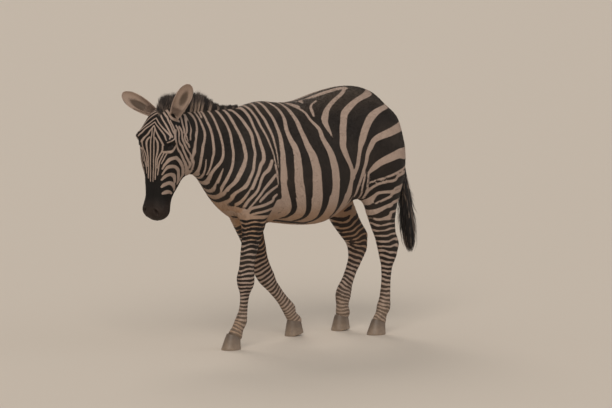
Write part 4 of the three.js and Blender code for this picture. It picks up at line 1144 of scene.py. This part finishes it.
# %% Ears
EAR_LENGTH, EAR_WIDTH, EAR_WALL = 178.0, 39.0, 5.0
EAR_STEPS, EAR_ROUND = 34, 44
EAR_HAIRS, EAR_HAIR = 1100, 27.0      # how many, and the longest, mm
EAR_PLACES = {
    "left": (on_head(6, -4, 70), POLL * MM - on_head(160, 4, -72), (-0.66, -0.75, 0.05)),
    "right": (on_head(10, 2, -72), POLL * MM - on_head(86, -86, 131), (-0.72, -0.42, 0.58)),
}
HOLLOW_SHADE = {"left": (0.50, 0.22, 4.5), "right": (0.38, 0.26, 8.0)}   # painted shade in the heart of the hollow: middle, reach, depth


def ear(side):
    """Its two sheets, t from foot to tip, how far aside each place is, and the way its hair lies."""
    base, axis, opening = EAR_PLACES[side]
    up = unit(np.asarray(axis))
    out = unit(np.asarray(opening) - up * (np.asarray(opening) @ up))
    across = np.cross(up, out)
    t = np.linspace(-0.10, 1, EAR_STEPS)
    clipped = np.clip(t, 0, 1)
    swell = 0.62 + 0.38 * np.sin(math.pi * np.clip(0.85 * t + 0.03, 0, 1))
    tip = np.sqrt(np.clip(1 - np.clip((t - 0.55) / 0.45, 0, None) ** 2.6, 0, None))
    roll = np.radians(112 - 62 * clipped)
    radius = (EAR_WIDTH * swell * tip + 2.5) / np.sin(np.minimum(roll, math.pi / 2))
    wall = np.minimum(EAR_WALL * (1 - 0.6 * clipped), 0.5 * radius)
    lean = -10 * np.sin(math.pi * clipped)
    angle = roll[:, None] * np.linspace(-1, 1, EAR_ROUND)[None]
    sheets = []
    for thickness in (0.0, 1.0):
        r = (radius - wall * thickness)[:, None] * (1 + 0.03 * np.sin(angle * 3) * tip[:, None])
        outward = (lean + radius * 0.5)[:, None] - r * np.cos(angle)
        place = (base[None, None] / MM + up * (EAR_LENGTH * t)[:, None, None]
                 + across * (r * np.sin(angle))[..., None] + out * outward[..., None])
        sheets.append(place * MM)
    return sheets, t, angle / roll[:, None], unit(0.5 * out + 0.8 * up)


def ear_numbers(side, t, aside, inside):
    """The ear's colours: pale with a dark band before the tip and another at the foot, and painted shade in
    the heart of the hollow.
    """
    band = 10 - 60 * np.abs(t - 0.80)
    foot = 9 - 60 * np.abs(t - 0.20) - 14 * ease(np.abs(aside), 0.3, 0.5)
    middle, reach, dark = HOLLOW_SHADE[side]
    # painted shade: the inside darkens toward the middle of its hollow, more on the right ear
    hollow_shade = dark * (1 - np.abs(aside) / 0.45) * hump(t, middle, reach) - 1.2
    mark = np.where(inside, hollow_shade, np.maximum(band, foot) - 4)
    return {"mark": np.clip(mark, -9, 9), "warm": np.full(len(t), 0.03),
            "fade": np.where(inside, 0.75, 0.25), "dust": np.where(inside, 0.25, 0.1),
            "upright": np.ones(len(t))}


def ear_hair(side, roots, lie):
    """Longer pale hair in the foot of the hollow and along its rims, pointing out and up."""
    rng = np.random.default_rng(51)
    pick = rng.integers(0, len(roots), EAR_HAIRS)
    length = EAR_HAIR * rng.uniform(0.5, 1.0, (EAR_HAIRS, 1, 1))
    way = unit(lie + rng.normal(0, 0.14, (EAR_HAIRS, 3)))[:, None]
    paths = roots[pick][:, None] + way * length * np.linspace(-0.1, 1, 4)[None, :, None] * MM
    widths = np.tile([1.3, 1.2, 0.8], (EAR_HAIRS, 1)) * MM
    tone = rng.uniform(0, 0.2, EAR_HAIRS)
    one = np.ones(EAR_HAIRS)
    return strands(f"ear_{side}_hair", paths, widths, 1.0,
                   {"mark": -9 * one, "warm": tone, "fade": tone, "dust": tone, "upright": one})


for side in EAR_PLACES:
    (outer, inner), t, aside, lie = ear(side)
    index = np.arange(aside.size).reshape(aside.shape)
    # the loop round the sheets' edge, where a rim of faces closes them
    loop = np.concatenate([index[0], index[1:, -1], index[-1, -2::-1], index[-2:0:-1, 0]])
    after = np.roll(loop, -1)
    rim = np.stack([loop, loop + index.size, after + index.size, after], axis=1)
    leaf = mesh_object(f"ear_{side}_skin", np.concatenate([outer.reshape(-1, 3), inner.reshape(-1, 3)]),
                       [grid_faces(index), grid_faces(index + index.size)[:, ::-1], rim])
    height, aside = np.repeat(t, aside.shape[1]), aside.ravel()
    inside = np.repeat([False, True], index.size)
    store(leaf, ear_numbers(side, np.tile(height, 2), np.tile(aside, 2), inside))
    ride_on(leaf, coat_finish, "coat", f"ear_{side}")
    haired = ((height < 0.16) & (height > -0.05)) | ((np.abs(aside) > 0.86) & (height < 0.45))
    ride_on(ear_hair(side, inner.reshape(-1, 3)[haired], lie), coat_finish, "coat")

# %% [markdown]
# ## Eyes
# The ball is smooth and wet, with a clear bulge in front. A zebra's eye looks black: a very dark
# brown iris round a pupil that lies level, and hardly any white. A ready-made sphere would have no
# bulge, so rings are laid round the line of sight, and the iris and pupil are numbers on them.

# %% Eyeballs
BULGE, BULGE_SPREAD = 1.3, 0.5        # height of the clear bulge in mm, and its reach in radians
BALL_END = 2.0                        # how far round from the front the ball goes, in radians
IRIS, PUPIL = (13.5, 11.5), (6.5, 3.0)    # half lengths along the slit and up it


def eyeball(side):
    """A sphere that bulges in front, stored with how far inside the iris and the pupil a place is."""
    out, along, up = eye_axes(side)
    polar = np.linspace(0, BALL_END, 40)[1:]
    turn = FULL_TURN * np.arange(64) / 64
    radius = EYE_RADIUS + BULGE * hump(polar, 0, BULGE_SPREAD)
    rings = ((radius * np.cos(polar))[:, None, None] * out
             + (radius * np.sin(polar))[:, None, None] * (np.cos(turn)[None, :, None] * along
                                                          + np.sin(turn)[None, :, None] * up))
    ends = np.array([out * (EYE_RADIUS + BULGE), out * radius[-1] * math.cos(BALL_END)])
    ball = capped(f"eyeball_{side}", EYES[side] + rings * MM, EYES[side] + ends * MM)
    points = np.concatenate([rings.reshape(-1, 3), ends])
    a, b, ahead = points @ along, points @ up, points @ out
    for name, (long, tall) in (("iris", IRIS), ("pupil", PUPIL)):
        put_attribute(ball, name, np.where(ahead > 0, 1 - np.hypot(a / long, b / tall), -1))
    return ball


def eye_material():
    """Wet and nearly black: a brown rim, a darker iris and a black pupil."""
    made, tree, shader = material("eye_wet", Roughness=0.08, IOR=1.38, Coat_Weight=0.2, Coat_Roughness=0.03)
    edge = remap(tree, number(tree, "iris"), 0.0, 0.14)
    hole = remap(tree, number(tree, "pupil"), -0.05, 0.15)
    wear(tree, shader, blend(tree, hole, blend(tree, edge, "#33261f", "#160d09"), "#050404"))
    return made


eye_finish = eye_material()
for side in EYES:
    ride_on(eyeball(side), eye_finish, "eye", f"eye_{side}")

# %% [markdown]
# ## Hooves
# A hoof is a horn capsule: a sloping wall with growth rings, flat below, cut lower at the heel.
# A cone would be round all the way, and a hoof is flatter behind, so its rings are bent there.
# Its top, the coronet, is tucked up into the pastern so no gap shows under the hair.

# %% Hooves
HOOF_LENGTH, HOOF_WIDTH = 108.0, 88.0
HOOF_STEPS, HOOF_ROUND = 26, 64
CORONET_SIZE, CORONET_BACK, TUCK = 0.78, 12.0, 0.30
HEEL, TOE = -0.72, 40.0               # where the heel's flat begins, and the tilt's pivot ahead of the middle
FEET = {"fore_left": (-364.9, -121, 4, 0), "fore_right": (196.1, 100, 0, 14),
        "hind_left": (572.1, -120, 4, 0), "hind_right": (516.1, 120, -2, 8)}   # x, y, heading, heel lift


def hoof(foot):
    """Rings from the sole to the coronet, flattened at the heel, then tilted and turned to its heading."""
    x, y, heading, lift = FEET[foot]
    level = np.linspace(0, 1 + TUCK, HOOF_STEPS)[:, None]
    turn = (FULL_TURN * np.arange(HOOF_ROUND) / HOOF_ROUND)[None]
    size = np.interp(level, [0, 0.08, 0.5, 1, 1 + TUCK], [1, 1.012, 0.9, CORONET_SIZE, 0.70])
    size = size + 0.006 * np.sin(FULL_TURN * level * 7) * ease(level, 0.05, 0.2) * ease(level, 1.0, 0.9)
    flat = np.where(np.cos(turn) < HEEL, HEEL + (np.cos(turn) - HEEL) * 0.15, np.cos(turn))
    ahead = HOOF_LENGTH / 2 * size * (flat + 0.12) - CORONET_BACK * level
    across = HOOF_WIDTH / 2 * size * np.sin(turn)
    tall = level * (53 + 26 * (ahead + CORONET_BACK) / (HOOF_LENGTH * CORONET_SIZE))
    ahead, tall = turned(ahead - TOE, tall, lift)
    ahead, across = turned(ahead + TOE, across, heading)
    rings = np.stack([x - ahead, y + across, np.maximum(tall, 0)], axis=-1)
    ends = np.array([rings[0].mean(0), rings[-1].mean(0)])
    return capped(f"hoof_{foot}_horn", rings * MM, ends * MM)


def horn_material():
    """Dark horn drawn out in upright grain, dusty toward the ground."""
    made, tree, shader = material("hoof_horn", Roughness=0.5, IOR=1.54)
    place = node(tree, "ShaderNodeTexCoord").outputs["Object"]
    grain = noise(tree, place, 1.0, 3.0, (420.0, 420.0, 25.0))
    height = node(tree, "ShaderNodeSeparateXYZ", {0: place}).outputs["Z"]
    dusty = patchy(tree, remap(tree, height, 0.0, 0.07, 0.75, 0.25), noise(tree, place, 45.0, 4.0), 0.35)
    base = blend(tree, dusty, blend(tree, grain, "#2d2723", "#5a4c41"), DUST)
    wear(tree, shader, base, None, grain, 0.4, 0.5 * MM)
    return made


horn_finish = horn_material()
for foot in FEET:
    ride_on(hoof(foot), horn_finish, "horn", f"hoof_{foot}")

# %% [markdown]
# ## Mane, forelock and tail
# The mane is a stiff brush of upright hair along the crest. Each lock keeps the colour of the
# band it grows from and darkens to its tip. The tail hangs from the dock as a loose dark tassel.
# Bumps on a solid fin would leave a hard outline, so both are made of thousands of single locks.

# %% Mane
# x, y, root height, hair height, half width
MANE = [(-692, -34, 1200, 134, 15), (-654, -26, 1208, 124, 17), (-604, -16, 1214, 118, 17),
        (-554, -9, 1216, 116, 17), (-504, -4, 1216, 112, 16), (-454, -1, 1214, 96, 15),
        (-409, 0, 1212, 66, 13), (-354, 0, 1210, 46, 11), (-294, 0, 1214, 38, 9), (-249, 0, 1218, 34, 6)]
FORELOCK = [(-772, -58, 1192, 42, 9), (-762, -54, 1194, 84, 15), (-748, -49, 1196, 116, 18),
            (-726, -42, 1200, 132, 18), (-693, -35, 1205, 130, 14)]
LOCK_WIDTH = 2.6
LOCK_DEPTH = 9.0                      # how deep in the crest a lock is rooted
FORELOCK_BANDS = 19.0                 # the face's stripes run on into the forelock at this spacing


def upright_hair(node_name, rows, count, lean, seed):
    """A brush along a row of places: locks stand up, fan out a little and end unevenly."""
    rng = np.random.default_rng(seed)
    path = through(rows, 12)
    lengths = np.linalg.norm(np.diff(path[:, :3], axis=0), axis=1)
    t = np.concatenate([[0], np.cumsum(lengths)])
    along = rng.random(count) * t[-1]
    x, y, z, tall, half = (np.interp(along, t, path[:, k]) for k in range(5))
    aside = rng.uniform(-1, 1, count)
    clump = 0.5 + 0.5 * ripple(np.stack([x, y + aside * 6, z], axis=1) * MM, 0.022, seed)
    reach = tall * (0.88 + 0.15 * clump + rng.normal(0, 0.045, count)) * (1 - 0.22 * np.abs(aside) ** 3)
    root = np.stack([x, y + aside * half, z - LOCK_DEPTH - 7 * aside ** 2], axis=1)
    fan = np.stack([lean + 0.10 * (clump - 0.5) + rng.normal(0, 0.05, count),
                    0.10 * aside + rng.normal(0, 0.05, count), np.ones(count)], axis=1)
    steps = np.linspace(0, 1, 4)[None, :, None]
    bend = np.array([0.18, 0.0, -0.05]) * rng.uniform(0, 1, (count, 1))
    shape = unit(fan)[:, None] * steps + bend[:, None] * steps ** 2
    paths = root[:, None] + (reach + LOCK_DEPTH)[:, None, None] * shape
    widths = LOCK_WIDTH * np.array([1.0, 0.95, 0.62])[None] * rng.uniform(0.7, 1.25, (count, 1))
    at_root = body_mark(np.stack([x, y, z - 2 * LOCK_DEPTH], axis=1) * MM)
    if rows is FORELOCK:
        at_root = 6 * np.cos(FULL_TURN * x / FORELOCK_BANDS) + 1.5
    numbers = {"mark": at_root, "tone": rng.normal(0, 1, count)}
    piece = strands(f"{node_name}_hair", paths * MM, widths * MM, 0.6, numbers)
    put_attribute(piece, "tip", np.tile(np.append(np.repeat([0, 0.34, 0.68], SIDES), 1), count))
    ride_on(piece, hair_finish, "hair", node_name)


def hair_material():
    """Pale or dark hair by the mark at its root, browner at its tip, no two locks quite alike."""
    made, tree, shader = material("mane_hair", Roughness=0.48, IOR=1.55)
    dark = remap(tree, number(tree, "mark"), -1.5, 1.5, curve="SMOOTHSTEP")
    tipped = remap(tree, number(tree, "tip"), 0.62, 0.95)
    level = remap(tree, number(tree, "tone"), -2.0, 2.0, 0.65, 1.5)
    wear(tree, shader, blend(tree, tipped, blend(tree, dark, "#a89485", "#1f1a18"), "#2a211d"), level)
    return made


hair_finish = hair_material()
upright_hair("mane", MANE, 8200, 0.02, 31)
upright_hair("forelock", FORELOCK, 2300, -0.05, 32)

# %% Tail
# x, y, height, half width, reach forward, reach back
TAIL = [(812, -11, 960, 17, 17, 17), (818, -17, 880, 17, 17, 17), (819, -19, 846, 20, 20, 20),
        (826, -24, 770, 28, 27, 24), (828, -30, 690, 34, 32, 32), (830, -36, 610, 36, 34, 42),
        (834, -42, 530, 32, 32, 44), (840, -46, 460, 22, 24, 32), (846, -50, 405, 8, 9, 10)]
TAIL_LOCKS, TAIL_STEPS, TAIL_WIDTH = 1500, 10, 3.0
TAIL_LOOSE = 0.9                      # how much farther out a loose lock ends
TAIL_START, TAIL_END = (800, 160), (409, 340)     # lowest place, and how far above it others are
TAIL_PALE = 0.12                      # share of pale locks


def tail_hair():
    """Locks that start along the dock, hang inside the tassel's outline and sway more and more."""
    rng = np.random.default_rng(41)
    rows = np.array(TAIL, dtype=float)[::-1]
    count = TAIL_LOCKS
    turn = rng.uniform(0, FULL_TURN, count)
    out = np.sqrt(rng.random(count))
    start, end = (low + more * rng.random(count) ** 1.5 for low, more in (TAIL_START, TAIL_END))
    t = np.linspace(0, 1, TAIL_STEPS)[None]
    z = start[:, None] + (end - start)[:, None] * t
    x, y, half, front, back = (np.interp(z, rows[:, 2], rows[:, k]) for k in (0, 1, 3, 4, 5))
    sway = 3.0 * np.sin(FULL_TURN * (t * rng.uniform(0.6, 1.6, (count, 1)) + rng.random((count, 1)))) * t
    reach = np.where(np.cos(turn)[:, None] > 0, back, front)
    loose = 1 + TAIL_LOOSE * (rng.random((count, 1)) < 0.3) * rng.random((count, 1)) * t ** 2
    own = out[:, None] * (0.55 + 0.5 * t) * loose
    x = x + reach * np.cos(turn)[:, None] * own + sway
    y = y + half * np.sin(turn)[:, None] * own + sway[:, ::-1]
    taper = np.interp(np.linspace(0, 1, TAIL_STEPS)[:-1], [0, 0.2, 0.7, 1], [0.7, 1, 0.8, 0.4])
    widths = TAIL_WIDTH * taper[None] * rng.uniform(0.6, 1.3, (count, 1))
    numbers = {"mark": np.where(rng.random(count) < TAIL_PALE, -2.0, 6.0), "tip": np.zeros(count),
               "tone": rng.normal(0, 1, count)}
    return strands("tail_tassel", np.stack([x, y, z], axis=-1) * MM, widths * MM, 1.0, numbers)


ride_on(tail_hair(), hair_finish, "hair", "tail_hair")

# %% [markdown]
# ## Studio
# A plain pale floor under three soft distant lamps, with the main one high on the head's side.
# Lamps near the animal would light the floor in pools, and distant ones keep it even.

# %% Floor, lamps and camera
AIM = (0.2272, 0.0467, 0.7010)
EYE_POINT = (-10.2950, -14.4358, 2.5825)
LENS, SENSOR = 201.2, 36.0
FLOOR_HALF = 90.0


def soft_lamp(name, place, angle, power, tint):
    """A distant lamp, seen as wide as the angle in degrees, that shines past the animal's middle."""
    data = bpy.data.lights.new(name, "SUN")
    data.angle = math.radians(angle)
    data.energy = power
    data.color = colour(tint)[:3]
    lamp = in_scene(name, data)
    lamp.location = place
    lamp.rotation_euler = look(place, (0.0, 0.0, 0.7))


def look(start, target):
    """The turn that points a lamp or camera from start to target."""
    away = np.subtract(target, start)
    flat = math.hypot(away[0], away[1])
    return (math.pi / 2 + math.atan2(away[2], flat), 0.0, math.atan2(away[1], away[0]) - math.pi / 2)


corners = np.array([(-1, -1, 0), (1, -1, 0), (1, 1, 0), (-1, 1, 0)]) * FLOOR_HALF
floor = mesh_object("floor", corners, [[(0, 1, 2, 3)]])
floor_finish, _, _ = material("pale_floor", Base_Color=colour("#cfc6bb"), Roughness=0.9)
floor.data.materials.append(floor_finish)
floor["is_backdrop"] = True
soft_lamp("main", (-3.2, -4.0, 4.6), 35, 1.35, "#fff6ec")
soft_lamp("fill", (4.5, -3.5, 3.0), 50, 0.25, "#f1f4ff")
soft_lamp("back", (1.5, 4.5, 4.6), 30, 0.8, "#fff4e8")

world = bpy.data.worlds.new("studio")
world.use_nodes = True
world.node_tree.nodes["Background"].inputs["Color"].default_value = colour("#e3dfd9")
world.node_tree.nodes["Background"].inputs["Strength"].default_value = 0.5
bpy.context.scene.world = world
bpy.context.scene.view_settings.view_transform = "Standard"

camera_data = bpy.data.cameras.new("camera")
camera_data.lens = LENS
camera_data.sensor_width = SENSOR
camera = in_scene("camera", camera_data)
camera.location = EYE_POINT
camera.rotation_euler = look(EYE_POINT, AIM)
bpy.context.scene.camera = camera

# %% Finish
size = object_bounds()
for title, box in (("cad", CAD_BOX), ("visual", size)):
    print(title, [round(v, 3) for v in box[1] - box[0]])
